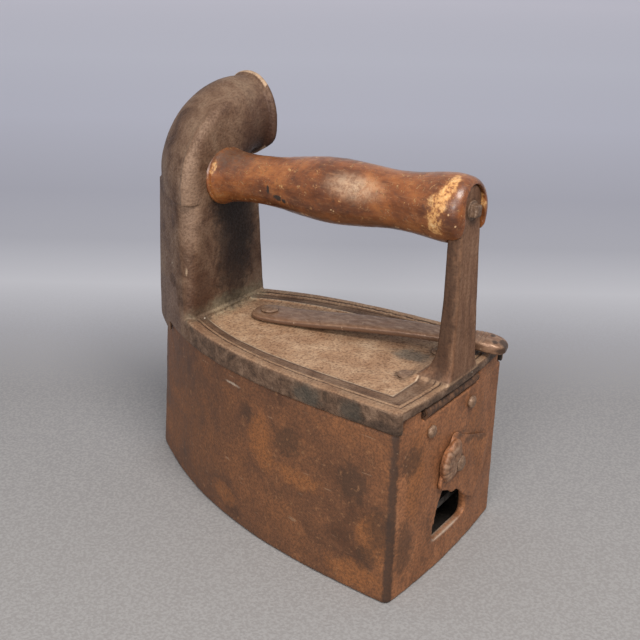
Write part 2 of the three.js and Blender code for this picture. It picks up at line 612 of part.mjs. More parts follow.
// ---------------------------------------------------------------- latch, drawn about its own pivot
function leverRing([along, half, under, over]) {
  const edge = Math.min(LEVER_EDGE, half * 0.5, (over - under) * 0.35);
  const corners = [
    [-half, under + edge], [-half + edge, under], [half - edge, under], [half, under + edge],
    [half, over - edge], [half - edge, over], [-half + edge, over], [-half, over - edge],
  ];
  return corners.map(([x, z]) => new THREE.Vector3(x, -along, z));
}

function latchLever() {
  const solid = toSolid(loft(LEVER_STATIONS.map(leverRing)));
  return toGeometry(solid.subtract(toSolid(upright(PIVOT.hole, -5, 12, 0, 0))));
}

function latchPivot() {
  const [, , , eyeTop] = LEVER_STATIONS.find(([along]) => along === 0);
  const headZ = eyeTop + GAP;
  const shankLength = PANEL_Z + headZ - HOOK.bottom + GAP + LATCH_WASHER.thickness;
  return rivet({ ...PIVOT, tail: PIVOT.shank + 1.3 }, shankLength)
    .rotateX(-Math.PI / 2)
    .translate(0, 0, headZ);
}

function latchHook() {
  const hub = toSolid(upright(HOOK.hubRadius, HOOK.bottom, HOOK.top, 0, 0));
  const arm = toSolid(box(0, HOOK.reach, -HOOK.halfWidth, HOOK.halfWidth, HOOK.bottom, HOOK.top));
  const drop = toSolid(box(
    HOOK.reach - HOOK.tip, HOOK.reach, -HOOK.halfWidth, HOOK.halfWidth, KEEPER.bottom - 5, HOOK.top,
  ));
  const toe = toSolid(box(
    HOOK.reach - HOOK.tip, HOOK.reach + HOOK.toe, -HOOK.halfWidth, HOOK.halfWidth,
    KEEPER.bottom - 5, KEEPER.bottom - 1,
  ));
  const bore = toSolid(upright(PIVOT.hole, 60, 110, 0, 0));
  return toGeometry(hub.add(arm).add(drop).add(toe).subtract(bore));
}

function latchWasher() {
  const top = HOOK.bottom - GAP;
  const disc = toSolid(upright(LATCH_WASHER.radius, top - LATCH_WASHER.thickness + GAP, top, 0, 0));
  return toGeometry(disc.subtract(toSolid(upright(PIVOT.hole, top - 5, top + 5, 0, 0))));
}

// ---------------------------------------------------------------- assembly
const iron = new THREE.Group();
iron.position.y = -ORIGIN_FROM_HEEL;

function addPart(parent, name, geometry, material) {
  const mesh = new THREE.Mesh(geometry, material);
  mesh.name = name;
  parent.add(mesh);
  return mesh;
}

addPart(iron, 'body_casting', bodyCasting(), bodyIron);
addPart(iron, 'fire_grate', fireGrate(), sootyIron);
addPart(iron, 'hinge_body_leaf', hingeBodyLeaf(), sootyIron);
addPart(iron, 'hinge_pin', hingePin(), rivetIron);
HEEL_RIVET.xs.forEach((x, i) => addPart(iron, `heel_rivet_${['left', 'right'][i]}`, heelRivet(x), rivetIron));
addPart(iron, 'damper_rivet', damperRivet(), rivetIron);
addPart(iron, 'damper_washer', damperWasher(), sootyIron);

const flap = addPart(iron, 'damper_flap', damperFlap(), bodyIron);
flap.position.set(DAMPER.x, -DAMPER.back, DAMPER.z);
flap.rotation.y = -THREE.MathUtils.degToRad(DAMPER.openAngle);

addPart(iron, 'lid_plate', lidPlate(), lidIron);
addPart(iron, 'chimney', chimney(), lidIron);
addPart(iron, 'rear_post', rearPost(), lidIron);
addPart(iron, 'wooden_grip', woodenGrip(), wood);
addPart(iron, 'handle_bolt', handleBolt(), rivetIron);
addPart(iron, 'hinge_lid_leaf', hingeLidLeaf(), sootyIron);
LID_RIVET.xs.forEach((x, i) => addPart(iron, `lid_rivet_${['left', 'right'][i]}`, lidRivet(x), rivetIron));

const latch = new THREE.Group();
latch.position.set(LEVER.pivotX, LEVER.pivotY, 0);
iron.add(latch);
const lever = addPart(latch, 'latch_lever', latchLever(), rivetIron);
lever.position.z = PANEL_Z;
lever.rotation.z = THREE.MathUtils.degToRad(LEVER.angle);
addPart(latch, 'latch_pivot', latchPivot(), rivetIron).position.z = PANEL_Z;
addPart(latch, 'latch_hook', latchHook(), sootyIron).rotation.z = THREE.MathUtils.degToRad(HOOK.angle);
addPart(latch, 'latch_washer', latchWasher(), sootyIron);

export default iron;
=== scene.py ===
"""The looks of a charcoal flat iron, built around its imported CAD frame.

Blender 4.5, metres, +Z up, +Y to the nose. Shapes are drawn in millimetres from the heel, and at() places
them in the frame.
"""
import math

import bmesh
import bpy
from mathutils import Matrix, Quaternion, Vector


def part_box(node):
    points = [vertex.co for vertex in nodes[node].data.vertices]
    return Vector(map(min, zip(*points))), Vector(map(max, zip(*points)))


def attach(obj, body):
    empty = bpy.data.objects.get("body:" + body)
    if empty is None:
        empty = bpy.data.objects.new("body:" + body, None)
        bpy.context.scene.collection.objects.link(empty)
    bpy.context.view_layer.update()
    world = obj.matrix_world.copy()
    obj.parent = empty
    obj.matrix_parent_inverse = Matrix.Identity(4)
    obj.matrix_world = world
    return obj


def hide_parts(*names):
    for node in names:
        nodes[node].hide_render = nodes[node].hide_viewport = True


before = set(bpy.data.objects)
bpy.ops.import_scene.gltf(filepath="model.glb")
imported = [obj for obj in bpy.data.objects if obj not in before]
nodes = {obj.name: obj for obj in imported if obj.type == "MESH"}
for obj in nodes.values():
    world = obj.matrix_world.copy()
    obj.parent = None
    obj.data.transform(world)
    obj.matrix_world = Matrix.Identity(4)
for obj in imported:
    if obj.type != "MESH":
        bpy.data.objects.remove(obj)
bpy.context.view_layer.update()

# ---- driving dimensions, millimetres from the heel
MM = 0.001
HEEL_Y = -80
GRATE_GAP = 0.3

HEEL_BULGE = 2.7
SOLE = dict(half=52.5, rear=0, nose=192.6, power=2.6, bulge=HEEL_BULGE, corner=3.4)
WALL_TOP = dict(half=51.3, rear=0, nose=186, power=3.3, bulge=HEEL_BULGE, corner=3.6)
RIM = dict(half=48, rear=0, nose=181, power=3.2, bulge=HEEL_BULGE, corner=4)
CAVITY_LOW = dict(half=48.2, rear=4, nose=185.5, power=2.6, bulge=HEEL_BULGE, corner=6)
CAVITY_HIGH = dict(half=45.5, rear=4, nose=176.5, power=3.2, bulge=HEEL_BULGE, corner=6)
SOLE_THICKNESS = 9
SHOULDER_Z = 89.7
RIM_TOP_Z = 96.4
NOTCH = dict(left=-33, right=21, bottom=90.2)
KEEPER = dict(left=31.5, right=41.5, rear=92, front=102, bottom=79, top=84)
GRATE_BOSSES = [(-34, 24), (34, 24), (-29, 98), (29, 98), (0, 150)]
GRATE_BOTTOM_Z = 20
HOLE = dict(half=16.5, sill=17, height=31, corner=3)

LID = dict(half=52.1, rear=-0.8, nose=191, power=3.2, bulge=2.9, corner=3)
LID_POCKET = dict(half=48.6, rear=-12, nose=182.6, power=3.4, bulge=0, corner=2)
LID_GROOVE = dict(half=47.2, rear=2.0, nose=177.3, power=3.4, bulge=2.4, corner=2.8)
LID_STRIP = dict(half=46.1, rear=3.1, nose=176, power=3.4, bulge=2.4, corner=2.5)
LID_INNER_STRIP = dict(half=44.4, rear=4.6, nose=174, power=3.4, bulge=2.2, corner=2.2)
LID_PANEL = dict(half=36, rear=13, nose=165, power=3.8, bulge=0.4, corner=1.6)
SKIRT_BOTTOM_Z = 90
STRAP_BOTTOM_Z = 84.6
# under the chimney's nose the skirt hangs lower, as a strap
STRAP_START_Y = 168
STRAP_INSIDE = {**LID_POCKET, "half": 51.8, "nose": 187.4, "power": 3.5}
LID_UNDERSIDE_Z = 96.8
PANEL_Z = 99.2
STRIP_Z = 100.1
GROOVE_Z = 100.6
RIDGE_Z = 101.2
BEAD_Z = 101.5
MOULDING_END_Y = 139.5
LID_RIVET_XS = (-12.4, 20.5)
LID_RIVET_Y = 19.6

SHAFT_REAR_Y = 141
SHAFT_FOOT_Z = 100
SHAFT_TOP_Z = 166
# past the nose, where the shaft's outline is trimmed by the nose's skirt
PAST_NOSE_Y = 210
# height, half width on the right
SHAFT_HALVES = [(99, 33.6), (101.7, 33.2), (108, 32.2), (125, 31), (142, 29.6), (155, 28.6), (166.5, 27.9)]
SHAFT_WALL = 4
FLUE_NOSE = 190
RIGHT_CORNER = 2.2
SHAFT_LEFT = dict(slope=0.45, y=147, half_low=28.9, half_high=27.6, corner_low=3.8, corner_high=9)
HOOD = dict(half=28.3, rear=141.2, nose=186.6, power=1.7, bulge=0, corner=6.5)
# the hood turns about a level axis through the pivot, towards the heading
BEND = dict(radius=31, swell=0.05, steps=20)
BEND_PIVOT = Vector((30, 153.5, 168))
BEND_HEADING = Vector((0.97, -0.243, 0)).normalized()
BEND_ACROSS = Vector((-BEND_HEADING.y, BEND_HEADING.x, 0))
BEND_STRAIGHT = 6
MOUTH = dict(radius=20.4, lip=22.6, reach=6, throat=0.22, low_side=0.5)
# the lip is rubbed pale above this height, from this far along it
WORN_LIP_Z = 168
WORN_LIP_REACH = 3.2
# a bulge and a dent in the mouth's lip: height, angle round the mouth, spread
LIP_CHIPS = [(1.1, -2.0, 0.28), (-1.76, -2.65, 0.4)]

POST_ROUND_Z = 183.8
POST_TOP_HALF = 8.8
POST_FRONT_Y = 24
# height, half width, y of the rear face, y of the front face
POST_RINGS = [
    (99.6, 17.5, -3.6, 20), (101, 15.6, -3.9, 16.4), (102.6, 14.0, -3.9, 13.4), (104.6, 12.8, -3.85, 10.8),
    (107.5, 11.9, -3.75, 8.6), (112, 11.4, -3.6, 6.9), (119, 11.1, -3.4, 5.7), (140, 10.3, -2.7, 5),
    (165, 9.5, -1.9, 5.3), (POST_ROUND_Z, POST_TOP_HALF, -1.25, 5.8),
]
POST_TOP_FACES = (-1.0, 6.1)

GRIP_REAR = Vector((0, -2.2, 181.2))
GRIP_FRONT = Vector((0, 143, 173.8))
GRIP_END_Y = 145
# room for the post's top in the grip
SLOT_GAP = 0.35
# distance along the grip, radius
GRIP_PROFILE = [
    (-1.0, 10.6), (-0.2, 12.9), (1.6, 14.4), (4.4, 15.3), (10, 15.8), (17, 15.3), (26, 14.2), (36, 13.7),
    (46, 14.0), (58, 15.1), (70, 15.8), (80, 15.6), (92, 14.4), (104, 12.9), (116, 12.1), (126, 12.2),
    (133, 12.8), (138.0, 13.7), (140.6, 14.5), (142.0, 14.6), (142.8, 15.3), (144.2, 15.3), (154, 15.2),
]
BOLT_HEAD = dict(half=2.8, rear=-5.0, front=-1.6, z=181.4)
BOLT_SHANK = dict(length=145, radius=3.1)

LEVER = dict(x=5, y=115.5, angle=12.8)
# along the lever, half width, underside above the panel, top above the panel
LEVER_STATIONS = [
    (-9.3, 2.2, 0.9, 2.2), (-8.7, 4.4, 0.5, 2.9), (-7, 6.9, 0.35, 3.3), (-4, 8.8, 0.3, 3.5),
    (0, 9.5, 0.3, 3.6), (12, 9.6, 0.5, 4.0), (30, 9.5, 1.6, 5.4), (50, 9.1, 3.4, 7.4),
    (72, 8.2, 4.8, 8.8), (92, 7.3, 5.4, 9.4),
    (100, 7.2, 5.2, 9.8), (108, 7.6, 4.9, 10.5), (116, 7.8, 4.7, 10.6), (122, 7.3, 4.0, 9.9),
    (126, 6.0, 3.8, 8.7), (128.2, 3.4, 4.4, 7.3),
]
PAD_START = 100
PAD_GROOVES = dict(start=103.5, end=119.5, pitch=2.3, radius=0.8, height=10.7)

DAMPER = dict(x=0, y=-3.1, z=55, thickness=1.8, open_angle=62, chamfer=11)
# the closed flap's outline about its rivet, tab upwards
FLAP_OUTLINE = [
    (-8.4, 13), (-12.6, 12.2), (-14.6, 9), (-14.3, 1), (-15.1, -3.4), (-13.3, -8), (-14.2, -13.5),
    (-15.6, -18.3), (-16.6, -23.6), (-16.9, -31.5), (-16.2, -34.2),
    (0, -36.6), (15.6, -32.6), (16.9, -29.5), (14.2, -3), (14.6, 8.6), (12.4, 12.2), (8.4, 13),
]
SHELL = dict(centre=7.6, radius=10.2, ribs=6)


# ---- general shapes, drawn in millimetres
def at(x, y, z):
    """A point given in millimetres from the heel, in the frame."""
    return Vector((x, y + HEEL_Y, z)) * MM


def mesh_object(name, bm):
    mesh = bpy.data.meshes.new(name)
    bmesh.ops.recalc_face_normals(bm, faces=bm.faces)
    bm.to_mesh(mesh)
    bm.free()
    piece = bpy.data.objects.new(name, mesh)
    bpy.context.scene.collection.objects.link(piece)
    return piece


def loft(name, rings):
    """A closed solid over a row of rings with equal point counts."""
    bm = bmesh.new()
    rows = [[bm.verts.new(point) for point in ring] for ring in rings]
    count = len(rings[0])
    for low, high in zip(rows, rows[1:]):
        for i in range(count):
            j = (i + 1) % count
            bm.faces.new((low[i], low[j], high[j], high[i]))
    bm.faces.new(rows[0][::-1])
    bm.faces.new(rows[-1])
    return mesh_object(name, bm)


def block(name, left, right, rear, front, bottom, top):
    corners = [(left, rear), (right, rear), (right, front), (left, front)]
    return loft(name, [[at(x, y, z) for x, y in corners] for z in (bottom, top)])


def circle(centre, heading, radius, sides):
    """A ring of points round a frame point, across a heading."""
    side = heading.orthogonal().normalized()
    other = heading.cross(side)
    turns = [2 * math.pi * i / sides for i in range(sides)]
    return [centre + (side * math.cos(t) + other * math.sin(t)) * radius * MM for t in turns]


def rod(name, start, end, radius, end_radius=None, sides=32):
    """A round rod between two frame points."""
    heading = (end - start).normalized()
    sizes = (radius, radius if end_radius is None else end_radius)
    return loft(name, [circle(point, heading, size, sides) for point, size in zip((start, end), sizes)])


def lathe(name, profile, origin, heading, sides=48):
    """A solid of revolution about heading. The profile is (along, radius), with no zero radius."""
    rings = [circle(origin + heading * along * MM, heading, size, sides) for along, size in profile]
    return loft(name, rings)


def smooth_profile(points, step):
    """Extra points along a smooth curve through the given (position, value) points."""
    found = []
    for i in range(len(points) - 1):
        before, start = points[max(i - 1, 0)], points[i]
        end, after = points[i + 1], points[min(i + 2, len(points) - 1)]
        count = max(1, round(math.dist(start, end) / step))
        for k in range(count):
            t = k / count
            found.append(tuple(
                0.5 * (2 * b + (c - a) * t + (2 * a - 5 * b + 4 * c - d) * t * t
                       + (3 * b - a - 3 * c + d) * t ** 3)
                for a, b, c, d in zip(before, start, end, after)
            ))
    found.append(points[-1])
    return found


def depth_inside(plan, x, y):
    """How far a point lies inside a plan, negative outside."""
    heel = y - plan["rear"] + plan["bulge"] * (1 - (x / plan["half"]) ** 2)
    return min(half_width(plan, y) - abs(x), heel)


def half_width(plan, y):
    share = max(0, y - plan["rear"]) / (plan["nose"] - plan["rear"])
    return plan["half"] * (1 - share ** plan["power"])


HEEL_STEPS, CORNER_STEPS, SIDE_STEPS, NOSE_SHARE = 24, 8, 44, 0.994


def plan_outline(plan):
    """An iron-shaped outline: bulged heel, rounded heel corners, curved sides, blunt nose."""
    flat = plan["half"] - plan["corner"]
    outline = []
    for i in range(HEEL_STEPS + 1):
        share = 2 * i / HEEL_STEPS - 1
        outline.append((share * flat, plan["rear"] - plan["bulge"] * (1 - share * share)))
    side = []
    for i in range(1, CORNER_STEPS):
        turn = math.pi / 2 * i / CORNER_STEPS
        rise = plan["corner"] * (1 - math.cos(turn))
        side.append((flat + plan["corner"] * math.sin(turn), plan["rear"] + rise))
    start = plan["rear"] + plan["corner"]
    for i in range(SIDE_STEPS + 1):
        y = start + (plan["nose"] - start) * math.sin(math.pi / 2 * i / SIDE_STEPS) * NOSE_SHARE
        side.append((half_width(plan, y), y))
    return outline + side + [(-x, y) for x, y in reversed(side)]


def plan_ring(plan, z):
    return [at(x, y, z) for x, y in plan_outline(plan)]


def grown(plan, by):
    return {**plan, "half": plan["half"] + by, "rear": plan["rear"] - by, "nose": plan["nose"] + by * 1.4}


def blended(low, high, share):
    return {key: low[key] + (high[key] - low[key]) * share for key in low}


def stack(name, *levels):
    """A solid through several (plan, height) levels."""
    return loft(name, [plan_ring(plan, z) for plan, z in levels])


def prism(name, plan, bottom, top):
    return stack(name, (plan, bottom), (plan, top))


# ---- joining, cutting and casting
def remove(*pieces):
    for piece in pieces:
        bpy.data.objects.remove(piece)


def settle(piece):
    """Applies the modifiers of a piece to its mesh."""
    shape = bpy.context.evaluated_depsgraph_get()
    piece.data = bpy.data.meshes.new_from_object(piece.evaluated_get(shape))
    piece.modifiers.clear()
    return piece


def combined(piece, others, operation):
    for other in others:
        modifier = piece.modifiers.new(operation, "BOOLEAN")
        modifier.operation = operation
        modifier.solver = "MANIFOLD"
        modifier.object = other
    settle(piece)
    return piece


def cut(piece, cutters):
    return combined(piece, cutters, "DIFFERENCE")


def joined(pieces):
    """Puts several closed solids into the first one's mesh."""
    bm = bmesh.new()
    for piece in pieces:
        bm.from_mesh(piece.data)
    bm.to_mesh(pieces[0].data)
    bm.free()
    remove(*pieces[1:])
    return pieces[0]


def cast(piece, voxel, smoothing, lumps=(), faces=None):
    """Fuses the solids of a piece into one skin with soft edges, and makes its surface uneven."""
    remesh = piece.modifiers.new("skin", "REMESH")
    remesh.mode = "VOXEL"
    remesh.voxel_size = voxel * MM
    soften = piece.modifiers.new("soften", "SMOOTH")
    soften.factor = 0.5
    soften.iterations = smoothing
    for size, height in lumps:
        texture = bpy.data.textures.new(f"{piece.name}_lumps", "CLOUDS")
        texture.noise_scale = size * MM
        texture.noise_depth = 2
        swell = piece.modifiers.new("lumps", "DISPLACE")
        swell.texture = texture
        swell.texture_coords = "LOCAL"
        swell.strength = height * MM
        swell.mid_level = 0.5
    settle(piece)
    if faces:
        thin = piece.modifiers.new("thin", "DECIMATE")
        thin.ratio = min(1, faces / max(1, 2 * len(piece.data.polygons)))
        settle(piece)
    for polygon in piece.data.polygons:
        polygon.use_smooth = True
    return piece


def store(piece, name, values):
    """Keeps one number per point, for the materials to read."""
    layer = piece.data.attributes.new(name, "FLOAT", "POINT")
    layer.data.foreach_set("value", values)


def finish_piece(piece, body, material, slot, *replaced):
    piece.data.materials.clear()
    piece.data.materials.append(material)
    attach(piece, body)
    if replaced:
        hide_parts(*replaced)
    return piece


# ---- materials
class Paint:
    """A procedural material: its methods add nodes and return their outputs."""

    def __init__(self, name, roughness, metallic=0.0, specular=0.5, coat=0.0):
        self.material = bpy.data.materials.new(name)
        self.material.use_nodes = True
        self.tree = self.material.node_tree
        self.shader = self.tree.nodes["Principled BSDF"]
        sockets = {
            "Roughness": roughness, "Metallic": metallic, "Specular IOR Level": specular,
            "Coat Weight": coat, "Coat Roughness": 0.3,
        }
        for socket, number in sockets.items():
            self.shader.inputs[socket].default_value = number
        self.place = self.node("ShaderNodeTexCoord").outputs["Object"]
        self.colour = None

    def node(self, kind, **settings):
        made = self.tree.nodes.new(kind)
        for key, value in settings.items():
            setattr(made, key, value)
        return made

    def feed(self, socket, value):
        if isinstance(value, bpy.types.NodeSocket):
            self.tree.links.new(value, socket)
        elif isinstance(value, tuple):
            socket.default_value = (*value, 1.0) if len(socket.default_value) == 4 else value
        else:
            socket.default_value = value

    def math(self, operation, a, b=0.0):
        made = self.node("ShaderNodeMath", operation=operation, use_clamp=False)
        self.feed(made.inputs[0], a)
        self.feed(made.inputs[1], b)
        return made.outputs[0]

    def times(self, a, b):
        return self.math("MULTIPLY", a, b)

    def vector(self, operation, a, b):
        made = self.node("ShaderNodeVectorMath", operation=operation)
        self.feed(made.inputs[0], a)
        self.feed(made.inputs[1], b)
        return made.outputs["Value"] if operation == "LENGTH" else made.outputs["Vector"]

    def noise(self, size, detail=3.0, rough=0.6, shift=0.0, stretch=(1, 1, 1), warp=0.0):
        made = self.node("ShaderNodeTexNoise")
        moved = self.vector("ADD", self.place, (shift, shift * 0.7, shift * 1.3))
        self.feed(made.inputs["Vector"], self.vector("MULTIPLY", moved, stretch))
        made.inputs["Scale"].default_value = 1 / (size * MM)
        made.inputs["Detail"].default_value = detail
        made.inputs["Roughness"].default_value = rough
        made.inputs["Distortion"].default_value = warp
        return made.outputs["Fac"]

    def spread(self, value, low, high, start=0.0, end=1.0):
        made = self.node("ShaderNodeMapRange", interpolation_type="SMOOTHSTEP")
        self.feed(made.inputs["Value"], value)
        for name, number in (("From Min", low), ("From Max", high), ("To Min", start), ("To Max", end)):
            made.inputs[name].default_value = number
        return made.outputs["Result"]

    def mix(self, factor, a, b, blend="MIX"):
        made = self.node("ShaderNodeMix", data_type="RGBA", blend_type=blend, clamp_factor=True)
        self.feed(made.inputs["Factor"], factor)
        self.feed(made.inputs[6], a)
        self.feed(made.inputs[7], b)
        return made.outputs[2]

    def lay(self, tone, mask, strength=None):
        """Lays a tone over the colour so far, as strongly as the mask says."""
        if strength is not None:
            mask = self.times(mask, strength)
        self.colour = self.mix(mask, self.colour, tone)

    def patches(self, tone, strength, places, ragged, size=6.0, soft=0.45):
        """Lays a tone over ragged patches, each given as its centre and radii."""
        for centre, radii in places:
            self.lay(tone, self.spot(centre, radii, ragged, size, soft), strength)

    def tones(self, value, *stops):
        made = self.node("ShaderNodeValToRGB")
        self.feed(made.inputs["Fac"], value)
        band = made.color_ramp
        band.elements[0].position, band.elements[0].color = stops[0][0], (*stops[0][1], 1)
        band.elements[1].position, band.elements[1].color = stops[-1][0], (*stops[-1][1], 1)
        for place, colour in stops[1:-1]:
            band.elements.new(place).color = (*colour, 1)
        return made.outputs["Color"]

    def axis(self, name):
        """One coordinate in millimetres from the heel."""
        split = self.node("ShaderNodeSeparateXYZ")
        self.feed(split.inputs[0], self.place)
        number = self.math("DIVIDE", split.outputs[name], MM)
        return self.math("SUBTRACT", number, HEEL_Y) if name == "Y" else number

    def spot(self, centre, radii, ragged=0.5, size=6.0, soft=0.45):
        """1 in the middle of a patch and 0 outside it, with a ragged edge."""
        away = self.vector("SUBTRACT", self.place, tuple(at(*centre)))
        away = self.vector("DIVIDE", away, tuple(r * MM for r in radii))
        distance = self.vector("LENGTH", away, (0, 0, 0))
        wander = self.math("SUBTRACT", self.noise(size, 4, 0.65, sum(centre)), 0.5)
        wander = self.times(wander, ragged * 3)
        return self.spread(self.math("ADD", distance, wander), 1 + soft, 1 - soft, 0, 1)

    def depth(self, plan):
        """How far a point lies inside a plan, negative outside."""
        side = self.math("ABSOLUTE", self.axis("X"))
        along = self.math("SUBTRACT", self.axis("Y"), plan["rear"])
        share = self.math("DIVIDE", self.math("MAXIMUM", along, 0.0), plan["nose"] - plan["rear"])
        narrowing = self.times(self.math("POWER", share, plan["power"]), plan["half"])
        flank = self.math("SUBTRACT", self.math("SUBTRACT", plan["half"], narrowing), side)
        across = self.math("POWER", self.math("DIVIDE", side, plan["half"]), 2.0)
        bulge = self.times(self.math("SUBTRACT", 1.0, across), plan["bulge"])
        heel = self.math("ADD", along, bulge)
        return self.math("MINIMUM", flank, heel)

    def stripe(self, value, start, end, soft=0.25):
        """1 between two values and 0 outside them, with soft sides."""
        rise = self.spread(value, start - soft, start + soft)
        return self.times(rise, self.spread(value, end + soft, end - soft))

    def edges(self, low, high):
        """Where the skin bulges out, as along edges; with high below low, where it is dented in."""
        return self.spread(self.node("ShaderNodeNewGeometry").outputs["Pointiness"], low, high)

    def attribute(self, name):
        return self.node("ShaderNodeAttribute", attribute_name=name).outputs["Fac"]

    def bump(self, *layers):
        """Adds fine relief: pairs of a height from 0 to 1 and its real depth."""
        normal = None
        for height, depth in layers:
            made = self.node("ShaderNodeBump")
            made.inputs["Strength"].default_value = 1.0
            made.inputs["Distance"].default_value = depth * MM
            self.feed(made.inputs["Height"], height)
            if normal is not None:
                self.feed(made.inputs["Normal"], normal)
            normal = made.outputs["Normal"]
        self.feed(self.shader.inputs["Normal"], normal)

    def done(self, roughness=None):
        self.feed(self.shader.inputs["Base Color"], self.colour)
        if roughness is not None:
            self.feed(self.shader.inputs["Roughness"], roughness)
        return self.material


def body_iron():
    """Smooth old iron: brown rust with orange clouds, dark stained patches, painted shade along the damper
    flap's upper edge, and a few pale marks.
    """
    p = Paint("body_iron_rust", 0.6, metallic=0.15, specular=0.35)
    cloud = p.noise(30, 4, 0.6, 0.4, warp=0.6)
    p.colour = p.tones(
        cloud, (0.3, (0.09, 0.039, 0.02)), (0.45, (0.145, 0.062, 0.03)),
        (0.58, (0.19, 0.078, 0.034)), (0.72, (0.25, 0.1, 0.04)),
    )
    heel = p.spread(p.axis("Y"), 3.0, -0.5)
    heel_colour = p.tones(
        p.noise(14, 5, 0.62, 0.9, stretch=(1, 1, 0.45), warp=0.5), (0.3, (0.165, 0.068, 0.03)),
        (0.45, (0.27, 0.108, 0.046)), (0.58, (0.34, 0.138, 0.058)), (0.75, (0.4, 0.18, 0.084)),
    )
    p.lay(heel_colour, heel)
    rust = [
        ((-50, 81, 61), (16, 8, 11)), ((-50, 78, 52), (14, 7, 8)), ((-52, 20, 9), (14, 16, 7)),
        ((-46, 111, 14), (16, 9, 6)), ((-51, 10, 32), (12, 9, 12)), ((-51, 55, 48), (12, 14, 5)),
        ((22, -2, 62), (8, 8, 20)), ((-36, -2, 60), (7, 8, 22)),
    ]
    p.patches((0.285, 0.108, 0.036), 0.75, rust, 0.6)
    stains_and_shade = [
        ((-50, 89, 71), (14, 5, 5)), ((-51, 23, 58), (10, 8, 10)), ((-52, 14, 21), (8, 5, 6)),
        ((-52, 7, 38), (8, 6, 12)), ((-42, -1, 27), (7, 6, 14)), ((-40, -1, 72), (8, 6, 7)),
        ((-50, 62, 66), (12, 9, 7)), ((50, 40, 60), (12, 12, 9)), ((48, 90, 40), (16, 9, 14)),
        # the last three patches are painted shade along the opened flap's upper edge, over its lit edge
        ((6, -4.2, 68.5), (8, 2, 2.2)), ((18, -4.2, 62.5), (9, 2, 2.4)), ((29, -4.2, 58), (8, 2, 2.4)),
    ]
    p.patches((0.045, 0.027, 0.018), 0.6, stains_and_shade, 0.8, 4)
    speckle = p.noise(1.3, 3, 0.7, 2.0)
    p.lay((0.055, 0.029, 0.017), p.spread(speckle, 0.62, 0.36, 0, 0.55))
    p.lay((0.31, 0.15, 0.068), p.spread(p.noise(2.6, 3, 0.6, 3.1), 0.58, 0.74, 0, 0.5))
    corner = p.spot((-52, 0.4, 48), (2.9, 2.9, 400), 0.4, 4, 0.35)
    p.lay((0.04, 0.024, 0.017), corner, 0.85)
    lip = p.times(p.spot((-4, -1, 17.6), (15, 5, 2.2), 0.12, 3, 0.3), p.edges(0.49, 0.56))
    p.lay((0.4, 0.31, 0.24), lip)
    scratch = p.noise(2.2, 2, 0.5, 5.2, stretch=(1, 0.1, 1))
    p.lay((0.33, 0.21, 0.13), p.spread(scratch, 0.7, 0.76, 0, 0.45))
    mark = p.spot((-50, 100.5, 83), (8, 6, 0.8), 0.5, 2)
    p.lay((0.45, 0.36, 0.28), mark, 0.8)
    p.lay((0.3, 0.19, 0.12), p.edges(0.56, 0.68), 0.5)
    p.lay((0.03, 0.02, 0.014), p.edges(0.47, 0.4), 0.7)
    shell = p.spot((-6.7, -7.8, 58.6), (13, 2.6, 13), 0.15, 4)
    bare = p.tones(
        p.noise(3, 4, 0.65, 2.5), (0.35, (0.12, 0.062, 0.036)), (0.5, (0.225, 0.13, 0.08)),
        (0.65, (0.33, 0.215, 0.145)),
    )
    p.lay(bare, shell, 0.8)
    gaps = p.times(p.spot((-6.7, -6, 58.6), (14, 4, 14), 0.1, 4), p.edges(0.495, 0.45))
    p.lay((0.03, 0.017, 0.011), gaps, 0.9)
    seat = p.spot((0, -4.4, 55), (5.4, 1.4, 5.4), 0.05, 3, 0.2)
    p.lay((0.035, 0.02, 0.013), seat, 0.85)
    p.bump((speckle, 0.1), (p.noise(0.55, 2, 0.6, 7.0), 0.06), (p.noise(6, 3, 0.5, 8.0), 0.1))
    return p.done(p.spread(cloud, 0.3, 0.7, 0.5, 0.66))


